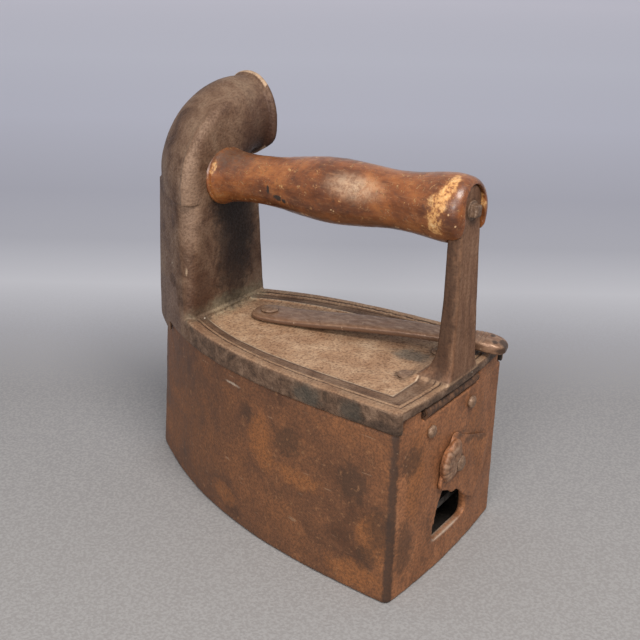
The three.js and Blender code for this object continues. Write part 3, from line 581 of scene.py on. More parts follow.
def cast_iron():
    """The lid casting: coarse sand-cast skin, dark in its pits, pale and dusty on what faces up, with a
    painted highlight on the raised bead and ridge, and patches of painted shadow, shade and highlight.
    """
    p = Paint("lid_iron_cast", 0.6, metallic=0.15, specular=0.3)
    grain = p.noise(1.25, 2, 0.55, 1.0, warp=0.3)
    fine = p.noise(0.55, 2, 0.6, 5.5)
    cloud = p.noise(17, 4, 0.62, 2.2, warp=0.6)
    p.colour = p.tones(
        cloud, (0.34, (0.066, 0.032, 0.018)), (0.46, (0.116, 0.063, 0.037)), (0.56, (0.156, 0.092, 0.057)),
        (0.68, (0.188, 0.12, 0.077)),
    )
    dusty = p.tones(
        p.noise(15, 5, 0.62, 4.4, warp=0.2), (0.3, (0.235, 0.125, 0.068)), (0.46, (0.33, 0.195, 0.113)),
        (0.6, (0.405, 0.262, 0.162)), (0.72, (0.47, 0.325, 0.212)),
    )
    p.lay(dusty, p.attribute("dust_and_highlight"))
    moulding, edge = p.depth(LID_GROOVE), p.depth(LID_PANEL)
    # lines along the moulding: dark lines in the groove and beside the ridge's step, painted shade, and a
    # faint dark line on the strip; pale lines on the ridge and at the panel's edge, painted highlights
    lines = (
        (moulding, 0.0, 1.0, 0.9, (0.03, 0.016, 0.01)),
        (moulding, 1.4, 2.4, 0.45, (0.33, 0.205, 0.125)),
        (moulding, 2.9, 3.6, 0.8, (0.04, 0.021, 0.013)),
        (moulding, 5.6, 6.4, 0.35, (0.055, 0.03, 0.019)),
        (edge, -1.9, -0.9, 0.6, (0.06, 0.034, 0.022)),
        (edge, -0.7, 0.0, 0.6, (0.56, 0.44, 0.32)),
    )
    ragged = p.spread(p.noise(5, 4, 0.65, 8.1), 0.34, 0.52, 0.35, 1.0)
    for value, start, end, strength, tone in lines:
        line = p.times(p.attribute("top"), p.stripe(value, start, end, 0.3))
        p.lay(tone, p.times(p.times(line, ragged), strength))
    old = p.tones(
        p.noise(8, 5, 0.68, 2.9, warp=0.4), (0.34, (0.038, 0.024, 0.016)), (0.5, (0.11, 0.065, 0.041)),
        (0.66, (0.205, 0.13, 0.086)),
    )
    p.lay(old, p.attribute("skirt"), 0.9)
    streaks = p.noise(2.6, 4, 0.65, 0.7, stretch=(1, 1, 0.12))
    upright = p.tones(
        streaks, (0.3, (0.105, 0.049, 0.026)), (0.48, (0.165, 0.08, 0.043)), (0.6, (0.205, 0.106, 0.059)),
        (0.75, (0.255, 0.148, 0.089)),
    )
    p.lay(upright, p.attribute("post"), 0.9)
    # stained patches, and patches of painted shadow, shade and highlight: each a centre, radii and tone
    stains_and_shade = [
        ((-52, 25, 95), (8, 6, 5), (0.045, 0.042, 0.034)),
        ((-51, 50, 95), (8, 8, 5), (0.052, 0.05, 0.041)),
        ((9, 29, 99.4), (6, 10, 3), (0.105, 0.1, 0.083)),
        ((0, 141, 103), (30, 7, 5), (0.225, 0.19, 0.125)),
        ((-51, 8, 92), (6, 9, 3), (0.035, 0.022, 0.016)),
        # painted shadow of the grip on the chimney's rear face
        ((6, 141, 132), (14, 5, 36), (0.014, 0.008, 0.006)),
        ((-22, 140, 112), (10, 5, 18), (0.062, 0.026, 0.014)),
        # painted shade on the hood's right side
        ((25, 140, 193), (17, 16, 20), (0.048, 0.021, 0.014)),
        # two more patches of the grip's painted shadow, to make it deeper
        ((3, 141, 160), (13, 5, 13), (0.01, 0.006, 0.004)),
        ((12, 141, 150), (12, 5, 30), (0.014, 0.008, 0.006)),
        # painted highlight on the chimney's rounded left-rear corner
        ((-26, 142, 166), (7, 8, 24), (0.25, 0.16, 0.108)),
        # painted shade on the post's left side
        ((-12, 3, 140), (4.5, 6, 50), (0.034, 0.018, 0.012)),
        # painted shade round the bolt head on the post's rear face
        ((0, -2.5, 181.4), (5.6, 3, 6), (0.035, 0.021, 0.014)),
    ]
    for centre, radii, tone in stains_and_shade:
        p.lay(tone, p.spot(centre, radii, 0.5, 4), 0.7)
    for x in LID_RIVET_XS:
        rim = p.spot((x, LID_RIVET_Y, PANEL_Z), (6.3, 6.3, 3), 0.15, 3, 0.25)
        p.lay((0.115, 0.072, 0.046), rim, 0.75)
    smooth = p.noise(9, 4, 0.6, 6.0)
    smooth = p.tones(smooth, (0.35, (0.105, 0.062, 0.044)), (0.65, (0.185, 0.118, 0.085)))
    p.lay(smooth, p.attribute("band"), 0.8)
    shade = p.tones(grain, (0.32, (0.5, 0.45, 0.42)), (0.5, (1.0, 1.0, 1.0)), (0.66, (1.22, 1.2, 1.16)))
    depth = p.math("ADD", p.times(p.attribute("dust_and_highlight"), 0.4), 0.5)
    p.colour = p.mix(depth, p.colour, shade, "MULTIPLY")
    rubbed = p.spread(p.noise(4, 4, 0.65, 3.3), 0.36, 0.52, 0.3, 0.85)
    rubbed = p.times(p.attribute("worn"), rubbed)
    p.lay((0.47, 0.32, 0.205), rubbed)
    p.lay((0.46, 0.33, 0.22), p.edges(0.54, 0.63), 0.6)
    p.lay((0.028, 0.016, 0.01), p.edges(0.475, 0.4), 0.8)
    p.lay((0.62, 0.53, 0.42), p.spread(p.noise(3.4, 1, 0.5, 9.0), 0.8, 0.84, 0, 0.8))
    p.lay((0.022, 0.017, 0.014), p.attribute("soot"))
    relief = p.math("SUBTRACT", 1.0, p.times(p.attribute("post"), 0.6))
    p.bump((p.times(grain, relief), 0.42), (p.times(fine, relief), 0.1))
    return p.done(p.spread(grain, 0.35, 0.65, 0.68, 0.5))


def rivet_iron():
    p = Paint("rivet_iron_worn", 0.5, metallic=0.25, specular=0.4)
    p.colour = p.tones(
        p.noise(1.4, 4, 0.65, 0.3), (0.3, (0.105, 0.058, 0.036)), (0.5, (0.195, 0.115, 0.071)),
        (0.7, (0.3, 0.192, 0.124)),
    )
    p.lay((0.46, 0.34, 0.25), p.edges(0.52, 0.6), 0.5)
    p.lay((0.045, 0.028, 0.02), p.edges(0.47, 0.4))
    p.lay((0.06, 0.034, 0.021), p.spread(p.axis("Z"), 120, 125, 0, 0.45))
    p.bump((p.noise(0.9, 3, 0.6, 3.0), 0.14))
    return p.done()


def lever_iron():
    """Forged iron, rubbed bright and brown along its top by thumbs, with its sides painted darker as shade.
    """
    p = Paint("lever_iron_rubbed", 0.42, metallic=0.3, specular=0.45)
    streaks = p.noise(2.2, 5, 0.62, 0.8, stretch=(1, 0.45, 1), warp=0.3)
    p.colour = p.tones(
        streaks, (0.3, (0.135, 0.068, 0.038)), (0.46, (0.2, 0.108, 0.063)), (0.58, (0.255, 0.146, 0.088)),
        (0.74, (0.35, 0.222, 0.14)),
    )
    p.lay((0.19, 0.092, 0.05), p.spread(p.noise(12, 3, 0.6, 1.4), 0.5, 0.7, 0, 0.6))
    # painted shade: the lever's sides darker than its top
    p.lay((0.115, 0.062, 0.038), p.attribute("flank"), 0.8)
    p.lay((0.5, 0.36, 0.25), p.edges(0.53, 0.62), 0.6)
    p.lay((0.05, 0.032, 0.022), p.edges(0.475, 0.41))
    pits = [
        ((33, -8.2, 108), (3.4, 2.4, 4)), ((28.6, -5.2, 109.4), (1.8, 1.5, 2)),
        ((34.4, -1.2, 109.4), (1.6, 1.2, 2)), ((30, -9.0, 105.5), (5, 3, 1.6)),
    ]
    p.patches((0.04, 0.022, 0.014), 0.85, pits, 0.4, 1.8, 0.3)
    p.bump((streaks, 0.1), (p.noise(0.7, 3, 0.6, 3.0), 0.08))
    return p.done(p.spread(streaks, 0.3, 0.7, 0.5, 0.34))


def hinge_iron():
    """Dark brown iron of the hinge in its slot, painted dark as the slot's shade."""
    p = Paint("hinge_iron_painted_shade", 0.6, metallic=0.2, specular=0.35)
    patches = p.noise(3.5, 4, 0.65, 1.7)
    p.colour = p.tones(
        patches, (0.35, (0.03, 0.017, 0.011)), (0.5, (0.08, 0.04, 0.022)), (0.65, (0.16, 0.078, 0.04)),
    )
    p.bump((p.noise(0.8, 3, 0.6, 2.0), 0.12))
    return p.done()


def sooty_iron():
    p = Paint("sooty_iron_black", 0.85, metallic=0.1, specular=0.25)
    p.colour = p.tones(
        p.noise(5, 5, 0.7, 0.5), (0.3, (0.014, 0.011, 0.009)), (0.55, (0.034, 0.027, 0.022)),
        (0.75, (0.085, 0.065, 0.05)),
    )
    ash = p.spot((-8, 12, 20), (30, 12, 6), 0.5, 4)
    p.lay((0.21, 0.19, 0.17), ash, 0.8)
    p.bump((p.noise(1.4, 4, 0.7, 3.0), 0.3))
    return p.done()


def grip_wood():
    """Turned hardwood under old varnish: red-brown, golden where its ends are scuffed, with dark pits and a
    painted sheen along its side.
    """
    p = Paint("grip_wood_varnish", 0.4, specular=0.4, coat=0.5)
    fibres = p.noise(1.3, 5, 0.7, 0.2, stretch=(1, 0.14, 1), warp=0.4)
    cloud = p.noise(15, 5, 0.64, 1.1, stretch=(1, 0.7, 1), warp=0.25)
    p.colour = p.tones(
        cloud, (0.33, (0.06, 0.016, 0.004)), (0.45, (0.125, 0.035, 0.008)), (0.54, (0.2, 0.06, 0.014)),
        (0.63, (0.275, 0.092, 0.022)), (0.74, (0.34, 0.14, 0.042)),
    )
    p.lay((0.42, 0.2, 0.08), p.spread(fibres, 0.5, 0.7, 0, 0.25))
    p.lay((0.06, 0.022, 0.01), p.spread(fibres, 0.45, 0.3, 0, 0.35))
    blotch = p.noise(4.2, 5, 0.72, 6.6, warp=0.3)
    p.lay((0.06, 0.027, 0.014), p.spread(blotch, 0.56, 0.7, 0, 0.5))
    scuffs = p.spread(p.noise(3.0, 5, 0.75, 4.0, warp=1.4), 0.58, 0.65)
    scuffs = p.times(scuffs, p.spread(cloud, 0.36, 0.52))
    p.lay((0.56, 0.3, 0.115), scuffs, 0.75)
    golden = p.tones(
        blotch, (0.35, (0.74, 0.47, 0.22)), (0.5, (0.56, 0.28, 0.095)), (0.62, (0.3, 0.11, 0.035)),
    )
    worn = [
        ((-14.5, 9.0, 181), (7, 4.2, 9)), ((-8, 5.0, 193), (8, 2.6, 6)), ((-13.5, 6, 189), (6, 3, 6)),
        ((-13, 138, 180), (4, 1.5, 3)), ((0, 141, 188.6), (14, 1.3, 4)), ((12, 4, 186), (8, 6, 9)),
    ]
    p.patches(golden, p.spread(blotch, 0.62, 0.5, 0.25, 0.95), worn, 0.7, 3.2, 0.3)
    p.lay((0.6, 0.38, 0.2), p.edges(0.55, 0.64), 0.85)
    mottle = p.noise(2.4, 5, 0.72, 9.3, warp=0.8)
    p.lay((0.062, 0.026, 0.013), p.spread(mottle, 0.55, 0.7, 0, 0.6))
    grimy = p.spot((-6, 132, 186), (9, 15, 7), 0.25, 4, 0.9)
    p.lay((0.1, 0.058, 0.038), grimy, p.spread(mottle, 0.36, 0.6, 0.3, 0.8))
    # painted sheen: a soft pale highlight along the grip's side
    painted_sheen = p.spot((-13, 53, 185), (5, 11, 5), 0.15, 5, 0.9)
    p.lay((0.62, 0.43, 0.28), painted_sheen, p.spread(mottle, 0.62, 0.4, 0.25, 0.6))
    pits = [
        ((-14, 97, 172), (4, 2.6, 1.6)), ((-14, 103, 175), (4, 1.0, 2.0)), ((-14, 93, 171), (4, 1.3, 1.3)),
    ]
    p.patches((0.026, 0.015, 0.01), None, pits, 0.6, 1.6, 0.3)
    p.lay((0.03, 0.014, 0.008), p.edges(0.46, 0.38))
    rim = p.spread(p.axis("Y"), 142.2, 142.9)
    p.lay((0.05, 0.022, 0.012), p.stripe(p.axis("Y"), 140.4, 142.0), 0.6)
    p.lay((0.46, 0.32, 0.19), rim, 0.55)
    p.bump((fibres, 0.07), (blotch, 0.22), (p.noise(0.9, 3, 0.6, 7.0), 0.06), (scuffs, -0.15))
    return p.done(p.spread(blotch, 0.4, 0.7, 0.3, 0.52))


IRON = body_iron()
CAST = cast_iron()
RIVETS = rivet_iron()
RUBBED = lever_iron()
SOOT = sooty_iron()
SHADED_HINGE = hinge_iron()
WOOD = grip_wood()


# ---- body
def draught_hole():
    half, corner, sill = HOLE["half"], HOLE["corner"], HOLE["sill"]
    corners, arch = 6, 32
    round_off = []
    for i in range(1, corners):
        turn = math.pi / 2 * i / corners
        round_off.append((half - corner + corner * math.sin(turn), sill + corner * (1 - math.cos(turn))))
    outline = [(-half + corner, sill), (half - corner, sill), *round_off]
    for i in range(arch + 1):
        turn = math.pi * i / arch
        height = sill + corner + (HOLE["height"] - corner) * math.sin(turn)
        outline.append((half * math.cos(turn), height))
    outline += [(-x, z) for x, z in reversed(round_off)]
    return loft("hole", [[at(x, y, z) for x, z in outline] for y in (-12, 12)])


def body_casting():
    levels = [(0, -0.5), (0.5, -0.15), (1.2, 0), (SHOULDER_Z / 2, 0), (SHOULDER_Z - 0.8, 0)]
    levels.append((SHOULDER_Z, -0.7))
    plans = [(grown(blended(SOLE, WALL_TOP, z / SHOULDER_Z), by), z) for z, by in levels]
    shell = stack("body", *plans)
    rim = stack("rim", (RIM, 84), (RIM, RIM_TOP_Z - 1), (grown(RIM, -0.8), RIM_TOP_Z))
    cavity = stack(
        "cavity", (CAVITY_LOW, SOLE_THICKNESS), (CAVITY_HIGH, SHOULDER_Z - 2), (CAVITY_HIGH, 110),
    )
    hole = draught_hole()
    notch = block("notch", NOTCH["left"], NOTCH["right"], -8, 3, NOTCH["bottom"], 110)
    shell = cut(shell, [cavity, hole])
    rim = cut(rim, [cavity, notch])
    remove(cavity, hole, notch)
    bosses = [rod("boss", at(x, y, 8), at(x, y, GRATE_BOTTOM_Z - GRATE_GAP), 4) for x, y in GRATE_BOSSES]
    keeper = block("keeper", *KEEPER.values())
    body = joined([shell, rim, keeper, *bosses])
    cast(body, 0.8, 3, lumps=((18, 0.5), (5, 0.16)), faces=190_000)
    body.name = "iron_body"
    finish_piece(body, "body", IRON, "body_iron", "body_casting")
    body.data.materials.append(SOOT)
    for polygon in body.data.polygons:
        x, y, z = polygon.center / MM
        y -= HEEL_Y
        wall = half_width(blended(CAVITY_LOW, CAVITY_HIGH, min(1, z / SHOULDER_Z)), y) + 0.9
        if z > SOLE_THICKNESS - 1 and y > 3.2 and abs(x) < wall:
            polygon.material_index = 1
    return body


# ---- lid, chimney and post: one casting
def lid_plate():
    plate = stack(
        "lid", (grown(LID, -0.3), SKIRT_BOTTOM_Z), (LID, SKIRT_BOTTOM_Z + 1.2), (LID, BEAD_Z - 1.5),
        (grown(LID, -0.4), BEAD_Z - 0.5), (grown(LID, -1.4), BEAD_Z),
    )
    behind = block("behind", -80, 80, -40, MOULDING_END_Y, 80, 120)
    levels = ((LID_GROOVE, GROOVE_Z), (LID_INNER_STRIP, STRIP_Z), (LID_PANEL, PANEL_Z))
    steps = [combined(prism("step", plan, z, 110), [behind], "INTERSECT") for plan, z in levels]
    pocket = prism("pocket", LID_POCKET, 80, LID_UNDERSIDE_Z)
    flue = loft("opening", [flue_ring(SHAFT_WALL, z) for z in (90, 106)])
    inside = prism("inside", grown(LID, -SHAFT_WALL), 80, 120)
    combined(flue, [inside], "INTERSECT")
    plate = cut(plate, [pocket, flue, *steps])
    inner = prism("inner", LID_INNER_STRIP, 90, 110)
    ridge = cut(prism("ridge", LID_STRIP, STRIP_Z - 1, RIDGE_Z), [inner])
    ridge = combined(ridge, [behind], "INTERSECT")
    front = block("front", -40, 40, STRAP_START_Y, 220, 60, 120)
    strap = combined(prism("strap", LID, STRAP_BOTTOM_Z, SKIRT_BOTTOM_Z + 1.5), [front], "INTERSECT")
    clearance = prism("clearance", STRAP_INSIDE, 80, 90)
    strap = cut(strap, [clearance, pocket])
    remove(behind, pocket, flue, inside, *steps, inner, front, clearance)
    return [plate, strap, ridge]


def shaft_outline(z, half):
    """The chimney's shaft in plan: rounded rear corners, its left side leaning in towards the nose."""
    side, share = SHAFT_LEFT, (z - SHAFT_FOOT_Z) / (SHAFT_TOP_Z - SHAFT_FOOT_Z)
    corner = side["corner_low"] + (side["corner_high"] - side["corner_low"]) * share
    left = side["half_low"] + (side["half_high"] - side["half_low"]) * share
    lean = math.hypot(1, side["slope"])
    centre_y = SHAFT_REAR_Y + corner
    centre_x = corner * lean - left + side["slope"] * (centre_y - side["y"])
    sweep = math.pi / 2 + math.atan(side["slope"])
    outline = [(-left + side["slope"] * (PAST_NOSE_Y - side["y"]), PAST_NOSE_Y)]
    left_steps, right_steps = 16, 12
    for i in range(left_steps + 1):
        turn = sweep * (1 - i / left_steps)
        outline.append((centre_x - corner * math.sin(turn), centre_y - corner * math.cos(turn)))
    for i in range(right_steps + 1):
        turn = math.pi / 2 * i / right_steps
        x = half - RIGHT_CORNER * (1 - math.sin(turn))
        outline.append((x, SHAFT_REAR_Y + RIGHT_CORNER * (1 - math.cos(turn))))
    return outline + [(half, PAST_NOSE_Y)]


def flue_ring(inset, z):
    half = SHAFT_HALVES[0][1] - inset
    plan = {**HOOD, "half": half, "rear": SHAFT_REAR_Y + inset, "nose": FLUE_NOSE - inset * 1.5, "corner": 3}
    return plan_ring(plan, z)


def shaft():
    rings = []
    for z, half in SHAFT_HALVES:
        rings.append([at(x, y, z) for x, y in shaft_outline(z, half)])
    upper = {**LID, "nose": 188.2, "half": 51.6}
    skirt = stack(
        "nose_skirt", (LID, 95), (LID, BEAD_Z), (upper, SHAFT_TOP_Z - 1),
        (grown(upper, -1), SHAFT_TOP_Z + 0.2),
    )
    solid = combined(loft("shaft", rings), [skirt], "INTERSECT")
    remove(skirt)
    return solid


def bend_point(out, along, turn, reach=0):
    """A point of the hood: out and along from its middle line, after a turn and a straight reach."""
    radius = BEND["radius"] + out
    point = BEND_PIVOT + BEND_ACROSS * along + BEND_HEADING * (reach - radius * math.cos(turn))
    return at(point.x, point.y, point.z + radius * math.sin(turn))


def throat(angle, depth):
    """How much the mouth keeps of its radius in a direction: its low side is pinched in."""
    return 1 - depth * max(0, -math.cos(angle + MOUTH["low_side"])) ** 2


def bend_rings(inset):
    """The hood's rings: the shaft's outline turns over to the right and becomes the round mouth."""
    plan = {**HOOD, "half": HOOD["half"] - inset, "rear": HOOD["rear"] + inset}
    plan["nose"] = HOOD["nose"] - 1.5 * inset
    flat = []
    for x, y in plan_outline(plan):
        arm = Vector((x - BEND_PIVOT.x, y - BEND_PIVOT.y, 0))
        flat.append((-arm.dot(BEND_HEADING) - BEND["radius"], arm.dot(BEND_ACROSS)))
    foot = Vector((0, 0, BEND_STRAIGHT * MM))
    rings = [[bend_point(out, along, 0) - foot for out, along in flat]]
    for step in range(BEND["steps"] + 1):
        share = step / BEND["steps"]
        blend = share * share * (3 - 2 * share)
        swell = 1 + BEND["swell"] * math.sin(math.pi * share)
        ring = []
        for out, along in flat:
            angle = math.atan2(along, out)
            mouth = (MOUTH["radius"] - inset) * throat(angle, MOUTH["throat"] * blend)
            size = (math.hypot(out, along) * (1 - blend) + mouth * blend) * swell
            ring.append(bend_point(size * math.cos(angle), size * math.sin(angle), share * math.pi / 2))
        rings.append(ring)

    def rim(radius, reach, pinched=False):
        ring = []
        for out, along in flat:
            angle = math.atan2(along, out)
            if pinched:
                size = radius * throat(angle, MOUTH["throat"])
            else:
                size = radius
                for height, place, spread in LIP_CHIPS:
                    size += height * math.exp(-((angle - place) / spread) ** 2)
            ring.append(bend_point(size * math.cos(angle), size * math.sin(angle), math.pi / 2, reach))
        return ring

    radius, lip, reach = MOUTH["radius"], MOUTH["lip"], MOUTH["reach"]
    if inset:
        return rings + [rim(radius - inset, 3, True), rim(radius - 1.6, reach + 3)]
    flare = [rim(lip - 0.9, 3.0), rim(lip, 3.8), rim(lip, 5.2), rim(lip - 0.8, reach)]
    return rings + [rim(radius, 2.2, True)] + flare


def rounded_ring(half, rear, front, z, corner, steps=5):
    centres = [(half - corner, rear + corner, -90), (half - corner, front - corner, 0)]
    centres += [(-half + corner, front - corner, 90), (-half + corner, rear + corner, 180)]
    ring = []
    for x, y, start in centres:
        for i in range(steps + 1):
            turn = math.radians(start + 90 * i / steps)
            ring.append(at(x + corner * math.cos(turn), y + corner * math.sin(turn), z))
    return ring


def rear_post():
    rings = smooth_profile(POST_RINGS, 1.5)
    column = loft("post", [rounded_ring(half, rear, front, z, 1.5) for z, half, rear, front in rings])
    rear, front = POST_TOP_FACES
    top = rod("post_top", at(0, rear, POST_ROUND_Z), at(0, front, POST_ROUND_Z), POST_TOP_HALF, sides=48)
    return [column, top]


def inner_side(point, normal):
    """Whether a piece of skin faces the middle of the chimney's flue."""
    arm = point - BEND_PIVOT
    along, height = arm.dot(BEND_HEADING), max(0, arm.z)
    turn = math.atan2(height, -along) if height else 0
    turn = min(turn, math.pi / 2)
    middle = BEND_PIVOT - BEND_HEADING * BEND["radius"] * math.cos(turn)
    middle.z = BEND_PIVOT.z + BEND["radius"] * math.sin(turn) if height else point.z
    if turn == math.pi / 2:
        middle += BEND_HEADING * along
    return (middle - point).normalized().dot(normal) > 0.45


def zone_values(point, normal):
    """How far a point of the lid casting belongs to each kind of surface, from 0 to 1."""
    x, y, z = point
    chimney = y > SHAFT_REAR_Y - 3
    top = PANEL_Z - 0.8 < z < BEAD_Z + 0.8 and y < SHAFT_REAR_Y + 1
    panel = top and depth_inside(LID_PANEL, x, y) > -0.4
    # pale dust on the panel; the pale tops of the bead and ridge are a painted highlight
    dust_and_highlight = 1.0 if panel else 0.55 if z > RIDGE_Z - 0.2 else 0.08
    shell = -depth_inside(LID, x, y)
    reach = (point - BEND_PIVOT).dot(BEND_HEADING)
    sooty = depth_inside(LID_POCKET, x, y) > -0.5 and STRAP_BOTTOM_Z < z < LID_UNDERSIDE_Z + 0.4
    flue = chimney and z > LID_UNDERSIDE_Z and shell < -2 and inner_side(point, normal)
    return {
        "dust_and_highlight": dust_and_highlight if top else 0.0,
        "top": 1.0 if top and y < MOULDING_END_Y and normal.z > 0.2 else 0.0,
        "skirt": 1.0 if z < BEAD_Z - 1.2 and shell > -2.5 and not chimney else 0.0,
        "band": 1.0 if y > 150 and z < SHAFT_TOP_Z + 1 and shell > -0.4 else 0.0,
        "post": min(1.0, max(0.0, (z - BEAD_Z) / 3)) if y < POST_FRONT_Y else 0.0,
        "worn": min(1.0, max(0.0, (z - WORN_LIP_Z) / 12)) if chimney and reach > WORN_LIP_REACH else 0.0,
        "soot": 1.0 if sooty or flue else 0.0,
    }


def paint_zones(lid):
    rows = []
    for vertex in lid.data.vertices:
        rows.append(zone_values(vertex.co / MM - Vector((0, HEEL_Y, 0)), vertex.normal))
    for name in rows[0]:
        store(lid, name, [row[name] for row in rows])


def lid_casting():
    narrow = SHAFT_WALL + 4
    flue_low = loft("flue_low", [flue_ring(SHAFT_WALL, 92), flue_ring(narrow, SHAFT_TOP_Z + 4)])
    inside = prism("inside", grown(LID, -SHAFT_WALL), 80, 200)
    combined(flue_low, [inside], "INTERSECT")
    flue_high = loft("flue_high", bend_rings(SHAFT_WALL))
    chimney = [cut(solid, [flue_low, flue_high]) for solid in (shaft(), loft("hood", bend_rings(0)))]
    remove(inside, flue_low, flue_high)
    lid = cast(joined([*lid_plate(), *chimney, *rear_post()]), 0.5, 1, lumps=((11, 0.35),), faces=196_000)
    lid.name = "lid_casting"
    paint_zones(lid)
    return finish_piece(lid, "lid", CAST, "lid_iron", "lid_plate", "chimney", "rear_post")


# ---- grip and its bolt
def grip_heading():
    return (GRIP_FRONT - GRIP_REAR).normalized()


def wooden_grip():
    profile = [(along, max(radius, 0.4)) for along, radius in smooth_profile(GRIP_PROFILE, 0.9)]
    grip = lathe("wooden_grip_turned", profile, at(*GRIP_REAR), grip_heading(), sides=96)
    slot = loft("slot", [
        rounded_ring(half + SLOT_GAP, -30, front + SLOT_GAP, z, 1.2)
        for z, half, _, front in POST_RINGS if z > 130
    ])
    ends = [at(0, y, POST_ROUND_Z) for y in (-30, POST_TOP_FACES[1] + SLOT_GAP)]
    slot_top = rod("slot_top", *ends, POST_TOP_HALF + SLOT_GAP, sides=48)
    wall = block("wall", -60, 60, GRIP_END_Y, 200, 100, 240)
    cut(grip, [slot, slot_top, wall])
    remove(slot, slot_top, wall)
    cast(grip, 0.45, 2, lumps=((14, 0.45), (3, 0.14)))
    return finish_piece(grip, "lid", WOOD, "grip_wood", "wooden_grip")


def handle_bolt():
    half, heading = BOLT_HEAD["half"], grip_heading()
    rear, front = BOLT_HEAD["rear"], BOLT_HEAD["front"]
    turn = Quaternion((0, 1, 0), math.radians(6)).to_matrix()
    rings = []
    corners = [Vector((x, 0, z)) for x, z in ((-1, -1), (1, -1), (1, 1), (-1, 1))]
    for y, size in ((rear, half - 0.9), (rear + 0.7, half - 0.1), (front - 0.4, half), (front, half - 0.3)):
        rings.append([at(0, y, BOLT_HEAD["z"]) + turn @ corner * size * MM for corner in corners])
    head = loft("handle_bolt_worn", rings)
    start = at(*GRIP_REAR)
    shank = rod("shank", start, start + heading * BOLT_SHANK["length"] * MM, BOLT_SHANK["radius"])
    washer = rod("seat", at(0, front - 0.2, BOLT_HEAD["z"]), at(0, front + 1.6, BOLT_HEAD["z"]), 4.6)
    bolt = cast(joined([head, shank, washer]), 0.3, 2, lumps=((2.5, 0.3),))
    return finish_piece(bolt, "lid", RIVETS, "rivet_iron", "handle_bolt")


# ---- rivets
def rivet(name, node, body, outward, radius, dome, shank):
    """A hammered rivet on a CAD rivet's place: domed head outside, shank and spread tail inside."""
    low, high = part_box(node)
    centre = (low + high) / 2
    reach = abs((high - low).dot(outward)) / MM / 2
    origin = centre + outward * (reach - dome) * MM
    depth = 2 * reach - dome
    profile = [(-depth, shank * 1.1), (-depth + 1.3, shank * 1.5), (-depth + 1.5, shank), (-0.3, shank)]
    profile += [(-0.1, radius * 0.94), (0.25 * dome, radius)]
    for i in range(1, 9):
        turn = math.pi / 2 * i / 9
        profile.append((dome * (0.25 + 0.75 * math.sin(turn)), radius * math.cos(turn) ** 0.8))
    made = cast(lathe(name, profile, origin, outward), 0.25, 1, lumps=((3.2, 0.4), (1.4, 0.12)))
    return finish_piece(made, body, RIVETS, "rivet_iron", node)


def rivets():
    heel, up = Vector((0, -1, 0)), Vector((0, 0, 1))
    for side in ("left", "right"):
        rivet(f"heel_rivet_{side}_hammered", f"heel_rivet_{side}", "body", heel, 3.2, 2.3, 2.1)
        rivet(f"lid_rivet_{side}_hammered", f"lid_rivet_{side}", "lid", up, 4.6, 1.2, 2.2)
    rivet("damper_rivet_hammered", "damper_rivet", "body", heel, 4.0, 2.0, 1.9)
    rivet("latch_pivot_hammered", "latch_pivot", "latch", up, 4.8, 1.7, 2.6)


# ---- latch lever
def latch_lever():
    turn = Matrix.Rotation(math.radians(LEVER["angle"]), 3, "Z")
    pivot = at(LEVER["x"], LEVER["y"], PANEL_Z)
    rings = []
    for along, half, under, over in smooth_profile(LEVER_STATIONS, 1.2):
        middle, thick = (under + over) / 2, (over - under) / 2
        ring = []
        for i in range(40):
            angle = 2 * math.pi * i / 40
            c, s = math.cos(angle), math.sin(angle)
            x = half * math.copysign(abs(c) ** 0.42, c)
            z = middle + thick * math.copysign(abs(s) ** (0.62 if s > 0 else 0.4), s)
            ring.append(pivot + turn @ Vector((x, -along, z)) * MM)
        rings.append(ring)
    lever = loft("latch_lever_forged", rings)
    grooves = []
    along = PAD_GROOVES["start"]
    middle = (PAD_GROOVES["start"] + PAD_GROOVES["end"]) / 2 + 0.5
    while along <= PAD_GROOVES["end"]:
        z = PAD_GROOVES["height"] - 0.02 * abs(along - middle)
        ends = [pivot + turn @ Vector((x, -along, z)) * MM for x in (-12, 12)]
        grooves.append(rod("groove", *ends, PAD_GROOVES["radius"], sides=12))
        along += PAD_GROOVES["pitch"]
    cut(lever, grooves)
    remove(*grooves)
    cast(lever, 0.33, 1, lumps=((6, 0.35), (2, 0.12)))
    back = turn.inverted()
    # the lever's sides, which get painted shade
    flank = []
    for vertex in lever.data.vertices:
        local = back @ (vertex.co - pivot) / MM
        flank.append(1.0 if vertex.normal.z < 0.45 and -local.y < PAD_START else 0.0)
    store(lever, "flank", flank)
    return finish_piece(lever, "latch", RUBBED, "lever_iron", "latch_lever")


# ---- draught flap, drawn closed, then opened
def flap_point(x, y, z):
    turn = -math.radians(DAMPER["open_angle"])
    c, s = math.cos(turn), math.sin(turn)
    return at(DAMPER["x"] + x * c + z * s, y, DAMPER["z"] - x * s + z * c)


